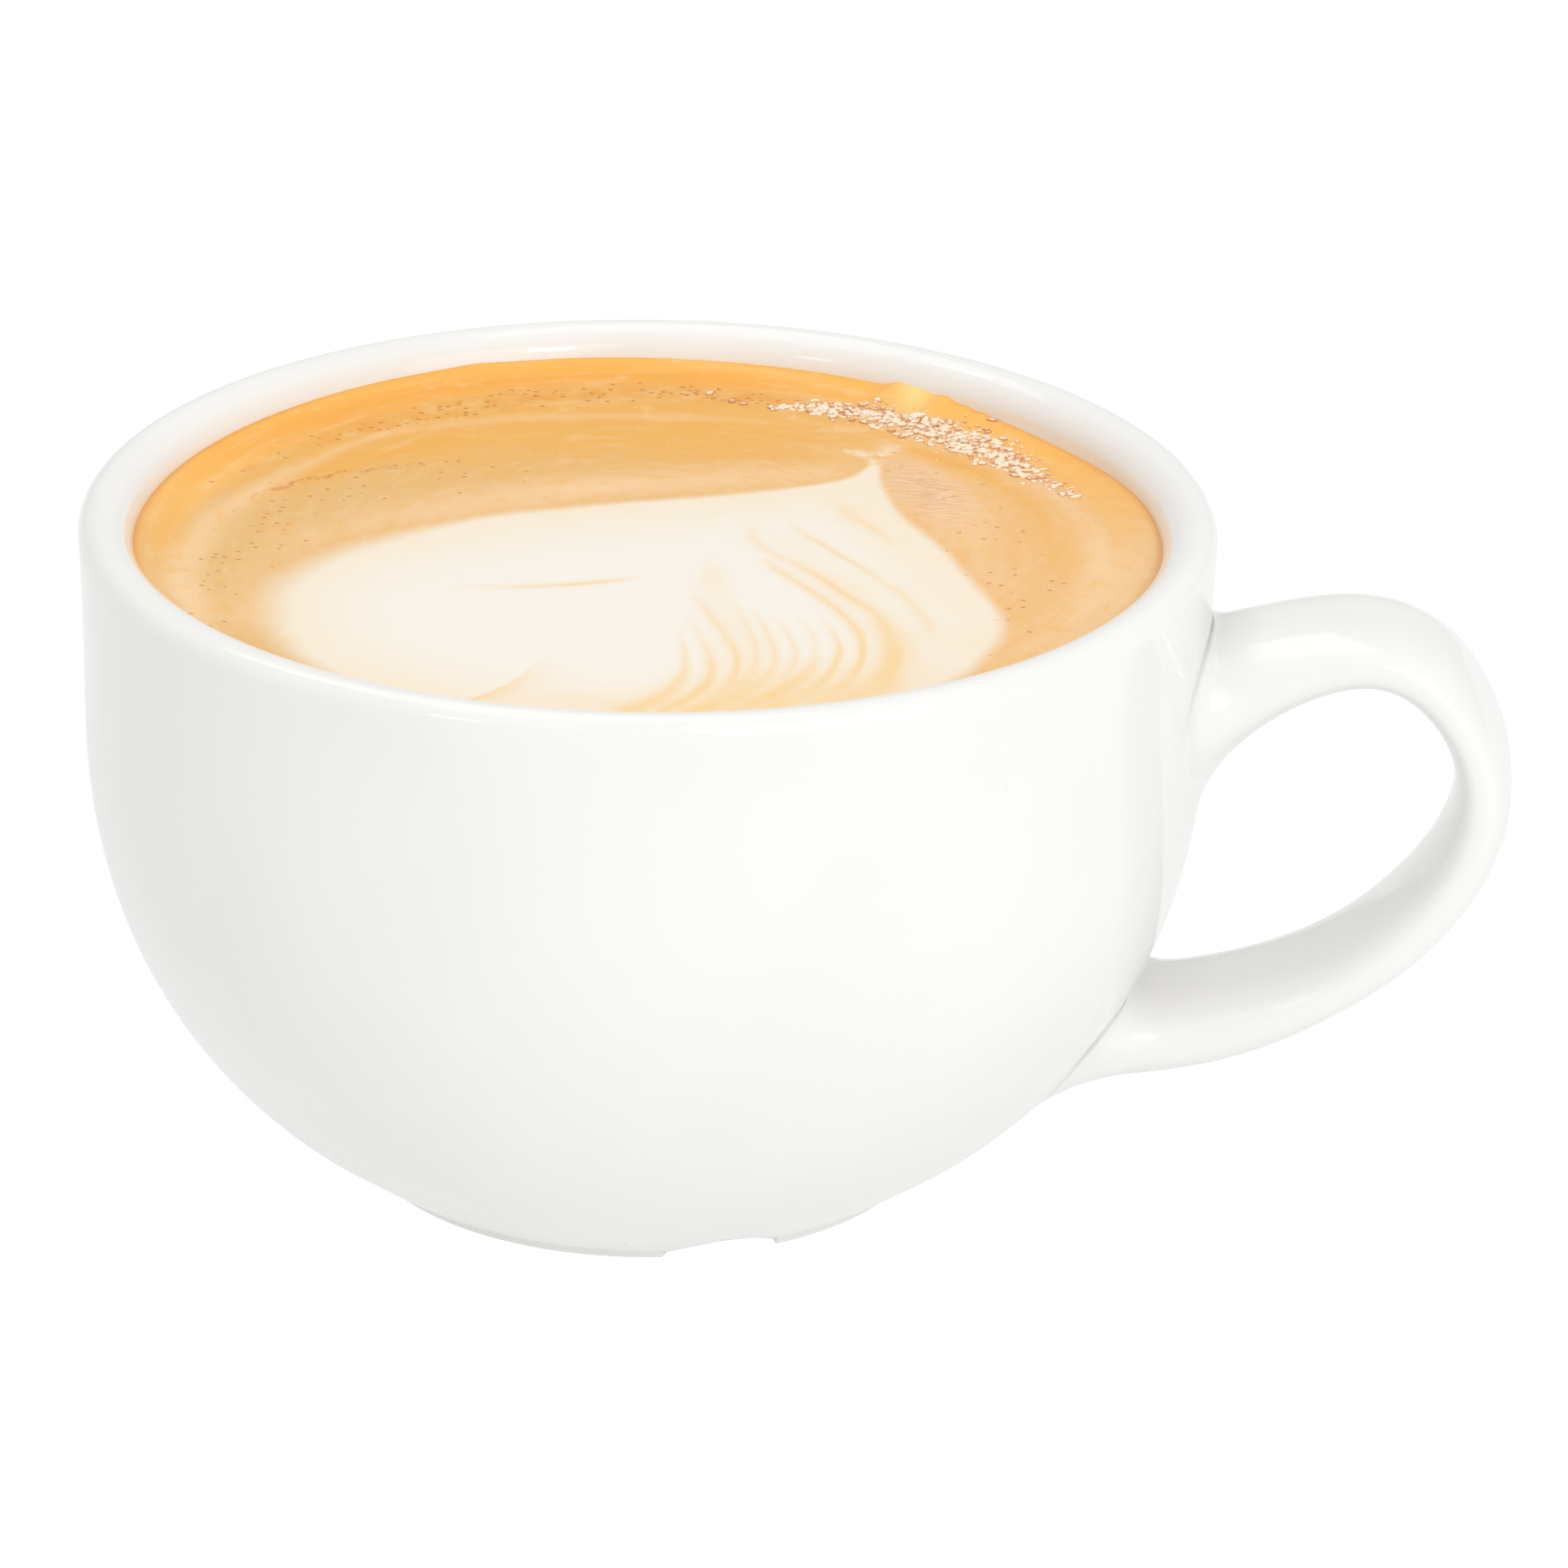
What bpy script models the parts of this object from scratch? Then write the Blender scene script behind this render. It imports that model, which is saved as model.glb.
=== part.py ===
"""A cup of cappuccino: a thick-walled glazed cup with a strap handle, and the drink that fills it.

Units are metres and +Z is up. The origin lies on the surface that the cup stands on, below the middle of
the whole, so the bowl stands a little to the -X side and its handle points along +X.
"""

import math

import bmesh
import bpy
import numpy as np
from mathutils import Matrix, Vector

MM = 0.001

# Bowl of the cup, outside
RIM_RADIUS = 54.0 * MM
CUP_HEIGHT = 65.9 * MM
BOWL_RADIUS = 53.65 * MM
BOWL_MIDDLE = 47.0 * MM
BOWL_DEPTH = 51.6 * MM
BOWL_FULLNESS = 2.2

# Lip, rounded tightly outside and softly inside
LIP_OUTER_ROUND = 1.9 * MM
LIP_INNER_ROUND = 3.3 * MM

# Inside of the bowl
WALL = 4.85 * MM
INNER_DEPTH = 39.0 * MM
INNER_FULLNESS = 2.3

# Low foot ring under the bowl
FOOT_TOP = 7.0 * MM
FOOT_RADIUS = 27.8 * MM
FOOT_WAIST = 29.8 * MM
FOOT_WAIST_HEIGHT = 2.0 * MM
FOOT_EDGE_ROUND = 0.8 * MM
FOOT_INNER_RADIUS = 22.4 * MM
RECESS_HEIGHT = 4.1 * MM

# Drain notch across the foot ring, at the front and a little towards the handle
NOTCH_WIDTH = 11.5 * MM
NOTCH_DEPTH = 3.7 * MM
NOTCH_ANGLE = math.radians(-68.5)

# Handle, seen from the side: its outer and its inner edge as (distance from the cup's axis, height),
# and its width there, all in millimetres, from the upper root in the wall round to the lower root
HANDLE_STATIONS_MM = (
    ((50.5, 55.1), (51.5, 39.0), 20.7),
    ((58.5, 57.3), (58.5, 47.4), 17.8),
    ((67.7, 58.5), (67.5, 52.35), 17.2),
    ((76.95, 54.95), (73.5, 50.6), 17.2),
    ((82.4, 45.0), (77.05, 44.6), 17.2),
    ((81.7, 34.9), (76.05, 36.7), 17.2),
    ((75.8, 25.6), (71.2, 29.6), 17.2),
    ((66.8, 18.4), (63.7, 23.7), 17.2),
    ((55.1, 12.9), (53.4, 20.1), 17.4),
    ((38.5, 10.3), (44.8, 18.9), 18.7),
)
HANDLE_REACH = 82.8 * MM
# The strap's section is a full oval: 2 would be an ellipse, and more is squarer
HANDLE_FULLNESS = 2.5

# The drink: foam that fills the bowl to just under the lip and climbs unevenly where it meets the wall
DRINK_GAP = 0.3 * MM
FOAM_LEVEL = 62.3 * MM
FOAM_EDGE_CLIMB = 0.3 * MM
FOAM_EDGE_WIDTH = 4.0 * MM
FOAM_DOME = 0.35 * MM
# Where the edge of the foam stands higher or lower: (angle round the cup, spread, height)
FOAM_SWELLS = (
    (math.radians(115), math.radians(38), 0.65 * MM),
    (math.radians(62), math.radians(5), 0.60 * MM),
    (math.radians(40), math.radians(16), -0.75 * MM),
)
# The swells fade out from the wall to this share of the foam's radius
SWELL_START = 0.5

# Fineness of the faceted shapes
TURN_STEPS = 64
BOWL_RINGS = 13
HOLLOW_RINGS = 10
LIP_RINGS = 5
FLARE_RINGS = 4
FOOT_RINGS = 4
EDGE_RINGS = 3
FOAM_RINGS = 5
CLIMB_RINGS = 4
HANDLE_RINGS = 34
HANDLE_SIDES = 20
NOTCH_SIDES = 64
WELD_DISTANCE = 0.01 * MM

# The cup's axis stands off the middle by half of what the handle adds
AXIS_X = -(HANDLE_REACH - RIM_RADIUS) / 2

GLAZE_COLOUR = (0.90, 0.89, 0.86, 1.0)
GLAZE_ROUGHNESS = 0.12
FOAM_COLOUR = (0.80, 0.55, 0.28, 1.0)
FOAM_ROUGHNESS = 0.35
SHARP_ANGLE = math.radians(60)


def clear_scene():
    for old in list(bpy.data.objects):
        bpy.data.objects.remove(old, do_unlink=True)


def new_collection(name):
    collection = bpy.data.collections.new(name)
    bpy.context.scene.collection.children.link(collection)
    return collection


def glossy_material(name, colour, roughness):
    material = bpy.data.materials.new(name)
    material.use_nodes = True
    shader = material.node_tree.nodes["Principled BSDF"]
    shader.inputs["Base Color"].default_value = colour
    shader.inputs["Roughness"].default_value = roughness
    shader.inputs["Metallic"].default_value = 0.0
    return material


def arc(centre, radius, start, end, steps):
    """Points (r, z) along an arc about a centre, from one angle in degrees to another."""
    points = []
    for step in range(steps + 1):
        angle = math.radians(start + (end - start) * step / steps)
        points.append((centre[0] + radius * math.cos(angle), centre[1] + radius * math.sin(angle)))
    return points


def bend(start, corner, end, steps):
    """Points of a quadratic curve that leaves start towards corner and reaches end from it."""
    points = []
    for step in range(steps + 1):
        t = step / steps
        weights = ((1 - t) ** 2, 2 * t * (1 - t), t * t)
        points.append(tuple(sum(w * p[i] for w, p in zip(weights, (start, corner, end))) for i in (0, 1)))
    return points


def bowl_points(radius, depth, fullness, lowest, rings):
    """Points (r, z) down a superellipse bowl, from its widest height to the height `lowest`."""
    reach = (BOWL_MIDDLE - lowest) / depth
    last = math.asin(min(1.0, reach ** (fullness / 2)))
    points = []
    for ring in range(rings + 1):
        turn = last * ring / rings
        across = max(0.0, math.cos(turn)) ** (2 / fullness)
        down = math.sin(turn) ** (2 / fullness)
        points.append((radius * across, BOWL_MIDDLE - depth * down))
    return points


def outer_side():
    """The cup's outside from the crown of its lip down to its foot."""
    crown = (RIM_RADIUS - LIP_OUTER_ROUND, CUP_HEIGHT - LIP_OUTER_ROUND)
    lip = arc(crown, LIP_OUTER_ROUND, 90, 0, LIP_RINGS)
    flare = []
    for ring in range(FLARE_RINGS - 1, 0, -1):
        share = ring / FLARE_RINGS
        height = BOWL_MIDDLE + (crown[1] - BOWL_MIDDLE) * share
        flare.append((BOWL_RADIUS + (RIM_RADIUS - BOWL_RADIUS) * share**2, height))
    bowl = bowl_points(BOWL_RADIUS, BOWL_DEPTH, BOWL_FULLNESS, FOOT_TOP, BOWL_RINGS)
    foot = bend(bowl[-1], (FOOT_WAIST, FOOT_WAIST_HEIGHT), (FOOT_RADIUS, FOOT_EDGE_ROUND), FOOT_RINGS)
    edge = arc((FOOT_RADIUS - FOOT_EDGE_ROUND, FOOT_EDGE_ROUND), FOOT_EDGE_ROUND, 0, -90, EDGE_RINGS)
    return lip + flare + bowl + foot[1:] + edge[1:]


def underside():
    """From the flat of the foot ring in to the axis, under the recessed base."""
    middle = (FOOT_INNER_RADIUS + FOOT_EDGE_ROUND, FOOT_EDGE_ROUND)
    edge = arc(middle, FOOT_EDGE_ROUND, 270, 180, EDGE_RINGS)
    corner = (FOOT_INNER_RADIUS - FOOT_EDGE_ROUND, RECESS_HEIGHT)
    return edge + [corner, (0.0, RECESS_HEIGHT)]


def inner_side():
    """The cup's inside from the middle of its floor up to the crown of its lip."""
    radius = BOWL_RADIUS - WALL
    floor = BOWL_MIDDLE - INNER_DEPTH
    bowl = bowl_points(radius, INNER_DEPTH, INNER_FULLNESS, floor, HOLLOW_RINGS)
    bowl[-1] = (0.0, floor)
    crown = (RIM_RADIUS - LIP_OUTER_ROUND, CUP_HEIGHT - LIP_INNER_ROUND)
    lip = arc(crown, LIP_INNER_ROUND, 180, 90, LIP_RINGS)
    return bowl[::-1] + lip[:-1]


def drink_profile():
    """From the middle of the foam out to the wall, and down beside it to the bottom of the bowl."""
    radius = BOWL_RADIUS - WALL - DRINK_GAP
    depth = INNER_DEPTH - DRINK_GAP
    floor = BOWL_MIDDLE - depth
    rim = FOAM_LEVEL + FOAM_EDGE_CLIMB
    shore = radius - FOAM_EDGE_WIDTH
    top = []
    for ring in range(FOAM_RINGS + 1):
        share = ring / FOAM_RINGS
        top.append((shore * share, FOAM_LEVEL + FOAM_DOME * (1 - share**2)))
    corner = (radius - FOAM_EDGE_CLIMB, FOAM_LEVEL)
    climb = bend((shore, FOAM_LEVEL), corner, (radius, rim), CLIMB_RINGS)
    bowl = bowl_points(radius, depth, INNER_FULLNESS, floor, HOLLOW_RINGS)
    bowl[-1] = (0.0, floor)
    return top + climb[1:] + bowl


def turned(name, profile, collection):
    """An object turned about the cup's axis from a profile of (r, z) points that runs down its outside."""
    mesh = bpy.data.meshes.new(name)
    edges = [(i, i + 1) for i in range(len(profile) - 1)]
    mesh.from_pydata([(r, 0.0, z) for r, z in profile], edges, [])
    shape = bpy.data.objects.new(name, mesh)
    shape.location.x = AXIS_X
    collection.objects.link(shape)
    screw = shape.modifiers.new("Turn", "SCREW")
    screw.axis = "Z"
    screw.angle = 2 * math.pi
    screw.steps = TURN_STEPS
    screw.render_steps = TURN_STEPS
    screw.use_merge_vertices = True
    screw.merge_threshold = WELD_DISTANCE
    screw.use_smooth_shade = True
    return shape


def smooth_curve(values, places):
    """A natural cubic spline through evenly numbered values, read at fractional places."""
    values = np.array(values, float)
    count = len(values)
    system = np.eye(count)
    target = np.zeros(count)
    for i in range(1, count - 1):
        system[i, i - 1 : i + 2] = (1, 4, 1)
        target[i] = 6 * (values[i - 1] - 2 * values[i] + values[i + 1])
    bending = np.linalg.solve(system, target)
    result = []
    for place in places:
        i = min(int(place), count - 2)
        t = place - i
        s = 1 - t
        straight = s * values[i] + t * values[i + 1]
        curved = (s**3 - s) * bending[i] / 6 + (t**3 - t) * bending[i + 1] / 6
        result.append(float(straight + curved))
    return result


def oval(width, thickness):
    """Points (across, through) round a strap's section, a superellipse."""
    points = []
    for side in range(HANDLE_SIDES):
        turn = 2 * math.pi * side / HANDLE_SIDES
        across = math.copysign(abs(math.cos(turn)) ** (2 / HANDLE_FULLNESS), math.cos(turn))
        through = math.copysign(abs(math.sin(turn)) ** (2 / HANDLE_FULLNESS), math.sin(turn))
        points.append((across * width / 2, through * thickness / 2))
    return points


def handle_sections():
    """Rings of points round the strap, each between its outer and its inner edge."""
    places = [ring * (len(HANDLE_STATIONS_MM) - 1) / HANDLE_RINGS for ring in range(HANDLE_RINGS + 1)]
    columns = []
    for station in zip(*[(*outer, *inner, width) for outer, inner, width in HANDLE_STATIONS_MM]):
        columns.append(smooth_curve([value * MM for value in station], places))
    rings = []
    for outer_r, outer_z, inner_r, inner_z, width in zip(*columns):
        outer = Vector((outer_r, 0.0, outer_z))
        inner = Vector((inner_r, 0.0, inner_z))
        middle = (outer + inner) / 2
        outward = (outer - inner).normalized()
        across = Vector((0.0, 1.0, 0.0))
        section = oval(width, (outer - inner).length)
        rings.append([middle + across * a + outward * b for a, b in section])
    return rings


def make_handle(collection):
    """The strap handle, lofted from root to root, with both of its ends inside the cup's wall."""
    bm = bmesh.new()
    rings = [[bm.verts.new(point) for point in ring] for ring in handle_sections()]
    sides = len(rings[0])
    for near, far in zip(rings, rings[1:]):
        for side in range(sides):
            after = (side + 1) % sides
            bm.faces.new((near[side], near[after], far[after], far[side]))
    bm.faces.new(rings[0][::-1])
    bm.faces.new(rings[-1])
    bmesh.ops.recalc_face_normals(bm, faces=bm.faces)
    mesh = bpy.data.meshes.new("handle")
    bm.to_mesh(mesh)
    bm.free()
    handle = bpy.data.objects.new("handle", mesh)
    handle.location.x = AXIS_X
    collection.objects.link(handle)
    return handle


def make_notch(collection):
    """A lying cylinder that crosses the foot ring, so that only a low arch of it cuts the ring's bottom edge."""
    half = NOTCH_WIDTH / 2
    radius = (half**2 + NOTCH_DEPTH**2) / (2 * NOTCH_DEPTH)
    outward = Vector((math.cos(NOTCH_ANGLE), math.sin(NOTCH_ANGLE), 0.0))
    middle = outward * (FOOT_RADIUS + FOOT_INNER_RADIUS) / 2 + Vector((AXIS_X, 0.0, NOTCH_DEPTH - radius))
    bm = bmesh.new()
    bmesh.ops.create_cone(
        bm,
        cap_ends=True,
        segments=NOTCH_SIDES,
        radius1=radius,
        radius2=radius,
        depth=FOOT_INNER_RADIUS,
    )
    turn = outward.to_track_quat("Z", "Y").to_matrix().to_4x4()
    bm.transform(Matrix.Translation(middle) @ turn)
    mesh = bpy.data.meshes.new("notch")
    bm.to_mesh(mesh)
    bm.free()
    notch = bpy.data.objects.new("notch", mesh)
    collection.objects.link(notch)
    return notch


def join_or_cut(shape, other, operation):
    boolean = shape.modifiers.new(operation.title() + " " + other.name, "BOOLEAN")
    boolean.operation = operation
    boolean.object = other
    boolean.solver = "EXACT"
    other.hide_render = True
    other.display_type = "WIRE"


def make_cup(parts, cutters):
    """The glazed cup: bowl, lip, foot ring and handle are one piece of fired clay."""
    cup = turned("cup", inner_side() + outer_side() + underside(), parts)
    join_or_cut(cup, make_handle(cutters), "UNION")
    join_or_cut(cup, make_notch(cutters), "DIFFERENCE")
    cup.data.materials.append(glossy_material("white glaze", GLAZE_COLOUR, GLAZE_ROUGHNESS))


def swell_at(angle):
    """How far the foam's edge stands above or below its usual level in one direction from the axis."""
    height = 0.0
    for middle, spread, rise in FOAM_SWELLS:
        away = math.remainder(angle - middle, 2 * math.pi)
        height += rise * math.exp(-((away / spread) ** 2))
    return height


def make_drink(parts):
    """The cappuccino, solid from the foam's surface to the floor of the bowl."""
    guide = turned("foam guide", drink_profile(), parts)
    bpy.context.view_layer.update()
    graph = bpy.context.evaluated_depsgraph_get()
    mesh = bpy.data.meshes.new_from_object(guide.evaluated_get(graph))
    bpy.data.objects.remove(guide, do_unlink=True)
    mesh.name = "cappuccino"
    radius = BOWL_RADIUS - WALL - DRINK_GAP
    for vertex in mesh.vertices:
        out = math.hypot(vertex.co.x, vertex.co.y)
        if vertex.co.z < FOAM_LEVEL - DRINK_GAP or out < DRINK_GAP:
            continue
        near_wall = max(0.0, (out / radius - SWELL_START) / (1 - SWELL_START)) ** 2
        vertex.co.z += near_wall * swell_at(math.atan2(vertex.co.y, vertex.co.x))
    drink = bpy.data.objects.new("cappuccino", mesh)
    drink.location.x = AXIS_X
    parts.objects.link(drink)
    mesh.shade_smooth()
    mesh.set_sharp_from_angle(angle=SHARP_ANGLE)
    mesh.materials.append(glossy_material("milk foam and crema", FOAM_COLOUR, FOAM_ROUGHNESS))


def main():
    clear_scene()
    parts = new_collection("Cup of cappuccino")
    cutters = new_collection("Cutters")
    make_cup(parts, cutters)
    make_drink(parts)


main()
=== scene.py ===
import math

import bmesh
import bpy
import numpy as np
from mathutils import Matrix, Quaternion, Vector
from mathutils import noise as random_height


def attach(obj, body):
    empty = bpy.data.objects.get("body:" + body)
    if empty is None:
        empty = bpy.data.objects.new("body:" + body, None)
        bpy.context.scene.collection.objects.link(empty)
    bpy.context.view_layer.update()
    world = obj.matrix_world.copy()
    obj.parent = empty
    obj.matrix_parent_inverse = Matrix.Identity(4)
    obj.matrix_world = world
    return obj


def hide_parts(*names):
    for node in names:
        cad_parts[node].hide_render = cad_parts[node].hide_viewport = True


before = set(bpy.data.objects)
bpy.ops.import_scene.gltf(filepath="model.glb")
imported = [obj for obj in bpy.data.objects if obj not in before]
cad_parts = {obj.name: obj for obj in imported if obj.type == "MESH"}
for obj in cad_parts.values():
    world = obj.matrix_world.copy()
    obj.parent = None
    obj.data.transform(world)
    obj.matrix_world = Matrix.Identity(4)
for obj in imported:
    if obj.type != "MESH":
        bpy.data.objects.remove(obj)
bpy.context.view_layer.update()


# The camera looks down on the rim from a little to the handle's side of the bowl's front, through a long
# lens, as someone who stands at the table would see the cup from close by.
CAMERA_PLACE = Vector((0.05851, -0.74360, 0.35181))
CAMERA_AIM = Vector((-0.00045, -0.00806, 0.04137))
CAMERA_ROLL = math.radians(0.942)
CAMERA_LENS = 193.6

camera_data = bpy.data.cameras.new("camera")
camera_data.lens = CAMERA_LENS
camera_data.sensor_width = 36.0
camera_data.clip_start = 0.05
camera_data.clip_end = 20.0
camera = bpy.data.objects.new("camera", camera_data)
camera.location = CAMERA_PLACE
camera.rotation_mode = "QUATERNION"
level_look = (CAMERA_AIM - CAMERA_PLACE).to_track_quat("-Z", "Y")
camera.rotation_quaternion = level_look @ Quaternion((0.0, 0.0, 1.0), CAMERA_ROLL)
bpy.context.scene.collection.objects.link(camera)
bpy.context.scene.camera = camera


# The cup is one piece of fired stoneware, thrown on a wheel: a wide bowl with a thick wall, a lip that is
# rounded tightly outside and softly inside, and a low foot ring. Its outline turns about the bowl's axis.
MM = 0.001
RIM_RADIUS = 54.0 * MM
CUP_HEIGHT = 65.9 * MM
BOWL_RADIUS = 53.65 * MM
BOWL_MIDDLE = 47.0 * MM
BOWL_DEPTH = 51.6 * MM
BOWL_FULLNESS = 2.2
LIP_OUTER_ROUND = 1.9 * MM
LIP_INNER_ROUND = 3.3 * MM
WALL = 4.85 * MM
INNER_DEPTH = 39.0 * MM
INNER_FULLNESS = 2.3
FOOT_TOP = 7.0 * MM
FOOT_RADIUS = 27.8 * MM
FOOT_WAIST = 29.8 * MM
FOOT_WAIST_HEIGHT = 2.0 * MM
FOOT_EDGE_ROUND = 0.8 * MM
FOOT_INNER_RADIUS = 22.4 * MM
RECESS_HEIGHT = 4.1 * MM
HANDLE_REACH = 82.8 * MM
AXIS_X = -(HANDLE_REACH - RIM_RADIUS) / 2
CUP_SIDES = 192
# How many steps the parts of the outline have
INNER_RINGS = 30
OUTER_RINGS = 34
INNER_LIP_RINGS = 14
OUTER_LIP_RINGS = 10
FLARE_RINGS = 12
FOOT_RINGS = 10
FOOT_EDGE_RINGS = 5


def arc(centre, radius, start, end, steps):
    """Points (r, z) along an arc, from one angle in degrees to another."""
    points = []
    for step in range(steps + 1):
        angle = math.radians(start + (end - start) * step / steps)
        points.append((centre[0] + radius * math.cos(angle), centre[1] + radius * math.sin(angle)))
    return points


def bend(start, corner, end, steps):
    """Points of a quadratic curve that leaves start towards corner and reaches end from it."""
    points = []
    for step in range(steps + 1):
        t = step / steps
        weights = ((1 - t) ** 2, 2 * t * (1 - t), t * t)
        points.append(tuple(sum(w * p[i] for w, p in zip(weights, (start, corner, end))) for i in (0, 1)))
    return points


def bowl_points(radius, depth, fullness, lowest, rings):
    """Points (r, z) down a full round bowl, from its widest height to the height `lowest`."""
    reach = (BOWL_MIDDLE - lowest) / depth
    last = math.asin(min(1.0, reach ** (fullness / 2)))
    points = []
    for ring in range(rings + 1):
        turn = last * ring / rings
        across = max(0.0, math.cos(turn)) ** (2 / fullness)
        down = math.sin(turn) ** (2 / fullness)
        points.append((radius * across, BOWL_MIDDLE - depth * down))
    return points


def outer_radius(height):
    """The bowl's radius outside at a height between its foot and its lip."""
    if height >= BOWL_MIDDLE:
        share = (height - BOWL_MIDDLE) / (CUP_HEIGHT - LIP_OUTER_ROUND - BOWL_MIDDLE)
        return BOWL_RADIUS + (RIM_RADIUS - BOWL_RADIUS) * min(1.0, share) ** 2
    drop = min(1.0, (BOWL_MIDDLE - height) / BOWL_DEPTH)
    return BOWL_RADIUS * (1 - drop**BOWL_FULLNESS) ** (1 / BOWL_FULLNESS)


def select_only(piece):
    bpy.ops.object.select_all(action="DESELECT")
    piece.select_set(True)
    bpy.context.view_layer.objects.active = piece


wall_radius = BOWL_RADIUS - WALL
bowl_floor = BOWL_MIDDLE - INNER_DEPTH
lip_middle = RIM_RADIUS - LIP_OUTER_ROUND
lip_base = CUP_HEIGHT - LIP_OUTER_ROUND
inner_bowl = bowl_points(wall_radius, INNER_DEPTH, INNER_FULLNESS, bowl_floor, INNER_RINGS)
inner_lip = arc((lip_middle, CUP_HEIGHT - LIP_INNER_ROUND), LIP_INNER_ROUND, 180, 90, INNER_LIP_RINGS)
outer_lip = arc((lip_middle, lip_base), LIP_OUTER_ROUND, 90, 0, OUTER_LIP_RINGS)
flare = []
for height in np.linspace(lip_base, BOWL_MIDDLE, FLARE_RINGS)[1:-1]:
    flare.append((outer_radius(height), float(height)))
outer_bowl = bowl_points(BOWL_RADIUS, BOWL_DEPTH, BOWL_FULLNESS, FOOT_TOP, OUTER_RINGS)
foot = bend(outer_bowl[-1], (FOOT_WAIST, FOOT_WAIST_HEIGHT), (FOOT_RADIUS, FOOT_EDGE_ROUND), FOOT_RINGS)
foot_edge_middle = (FOOT_RADIUS - FOOT_EDGE_ROUND, FOOT_EDGE_ROUND)
foot_edge = arc(foot_edge_middle, FOOT_EDGE_ROUND, 0, -90, FOOT_EDGE_RINGS)
recess_edge_middle = (FOOT_INNER_RADIUS + FOOT_EDGE_ROUND, FOOT_EDGE_ROUND)
recess_edge = arc(recess_edge_middle, FOOT_EDGE_ROUND, 270, 180, FOOT_EDGE_RINGS)
recess = [(FOOT_INNER_RADIUS - FOOT_EDGE_ROUND, RECESS_HEIGHT), (FOOT_INNER_RADIUS / 3, RECESS_HEIGHT)]
outline = inner_bowl[-2::-1] + inner_lip[1:] + outer_lip[1:] + flare + outer_bowl
outline += foot[1:] + foot_edge[1:] + recess_edge + recess

bpy.ops.object.select_all(action="DESELECT")
bpy.ops.mesh.primitive_circle_add(
    vertices=CUP_SIDES, radius=outline[0][0], fill_type="TRIFAN", location=(AXIS_X, 0.0, bowl_floor)
)
cup = bpy.context.object
cup.name = "glazed_cup"
bpy.ops.object.mode_set(mode="EDIT")
bpy.ops.mesh.select_all(action="DESELECT")
bpy.ops.mesh.select_non_manifold()
radius, height = outline[0][0], bowl_floor
for next_radius, next_height in outline[1:]:
    bpy.ops.mesh.extrude_region_move(TRANSFORM_OT_translate={"value": (0.0, 0.0, next_height - height)})
    grow = next_radius / radius
    bpy.ops.transform.resize(value=(grow, grow, 1.0), center_override=(AXIS_X, 0.0, next_height))
    radius, height = next_radius, next_height
bpy.ops.mesh.extrude_region_move()
bpy.ops.mesh.merge(type="CENTER")
bpy.ops.mesh.select_all(action="SELECT")
bpy.ops.mesh.normals_make_consistent(inside=False)
bpy.ops.object.mode_set(mode="OBJECT")
bpy.ops.object.transform_apply(location=True, rotation=True, scale=True)


# The handle is a strap of the same clay with a full oval section, pulled by hand and pressed onto the wall
# while it was leather-hard. Its roots spread into the wall in soft fillets, widest on their two sides.
HANDLE_STATIONS_MM = (
    # (outer edge), (inner edge), width: each edge as (distance from the cup's axis, height)
    ((50.5, 55.1), (51.5, 39.0), 20.7),
    ((58.5, 57.3), (58.5, 47.4), 17.8),
    ((67.7, 58.5), (67.5, 52.35), 17.2),
    ((76.95, 54.95), (73.5, 50.6), 17.2),
    ((82.4, 45.0), (77.05, 44.6), 17.2),
    ((81.7, 34.9), (76.05, 36.7), 17.2),
    ((75.8, 25.6), (71.2, 29.6), 17.2),
    ((66.8, 18.4), (63.7, 23.7), 17.2),
    ((55.1, 12.9), (53.4, 20.1), 17.4),
    ((38.5, 10.3), (44.8, 18.9), 18.7),
)
HANDLE_FULLNESS = 2.5
HANDLE_RINGS = 150
HANDLE_LINES = 72
FILLET_RINGS = 12
# How far each root's fillet reaches from the joint, on its outer face, its two sides and its inner face, and
# how far round the section the sides' reach is kept
UPPER_FILLET = (1.0 * MM, 6.0 * MM, 4.0 * MM, 1)
LOWER_FILLET = (2.0 * MM, 8.0 * MM, 1.2 * MM, 3)
FILLET_SINK = 0.025 * MM
ROOT_DEPTH = 1.6 * MM
# How many steps the strap has between two stations, where it is searched for the wall
FINE_STEPS = 100


def smooth_bending(values):
    """The second differences of a natural cubic spline through evenly numbered values."""
    count = len(values)
    system = np.eye(count)
    target = np.zeros(count)
    for i in range(1, count - 1):
        system[i, i - 1 : i + 2] = (1, 4, 1)
        target[i] = 6 * (values[i - 1] - 2 * values[i] + values[i + 1])
    return np.linalg.solve(system, target)


def along_spline(values, bending, places):
    """The spline's value at fractional places, which may be an array."""
    i = np.clip(places.astype(int), 0, len(values) - 2)
    t = places - i
    s = 1 - t
    return s * values[i] + t * values[i + 1] + (s**3 - s) * bending[i] / 6 + (t**3 - t) * bending[i + 1] / 6


station_columns = []
for station in zip(*[(*outer, *inner, width) for outer, inner, width in HANDLE_STATIONS_MM]):
    values = np.array(station) * MM
    station_columns.append((values, smooth_bending(values)))

# The section's points as shares of its width and of its thickness
section_turn = 2 * math.pi * np.arange(HANDLE_LINES) / HANDLE_LINES
section_across = np.sign(np.cos(section_turn)) * np.abs(np.cos(section_turn)) ** (2 / HANDLE_FULLNESS)
section_through = np.sign(np.sin(section_turn)) * np.abs(np.sin(section_turn)) ** (2 / HANDLE_FULLNESS)


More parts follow.
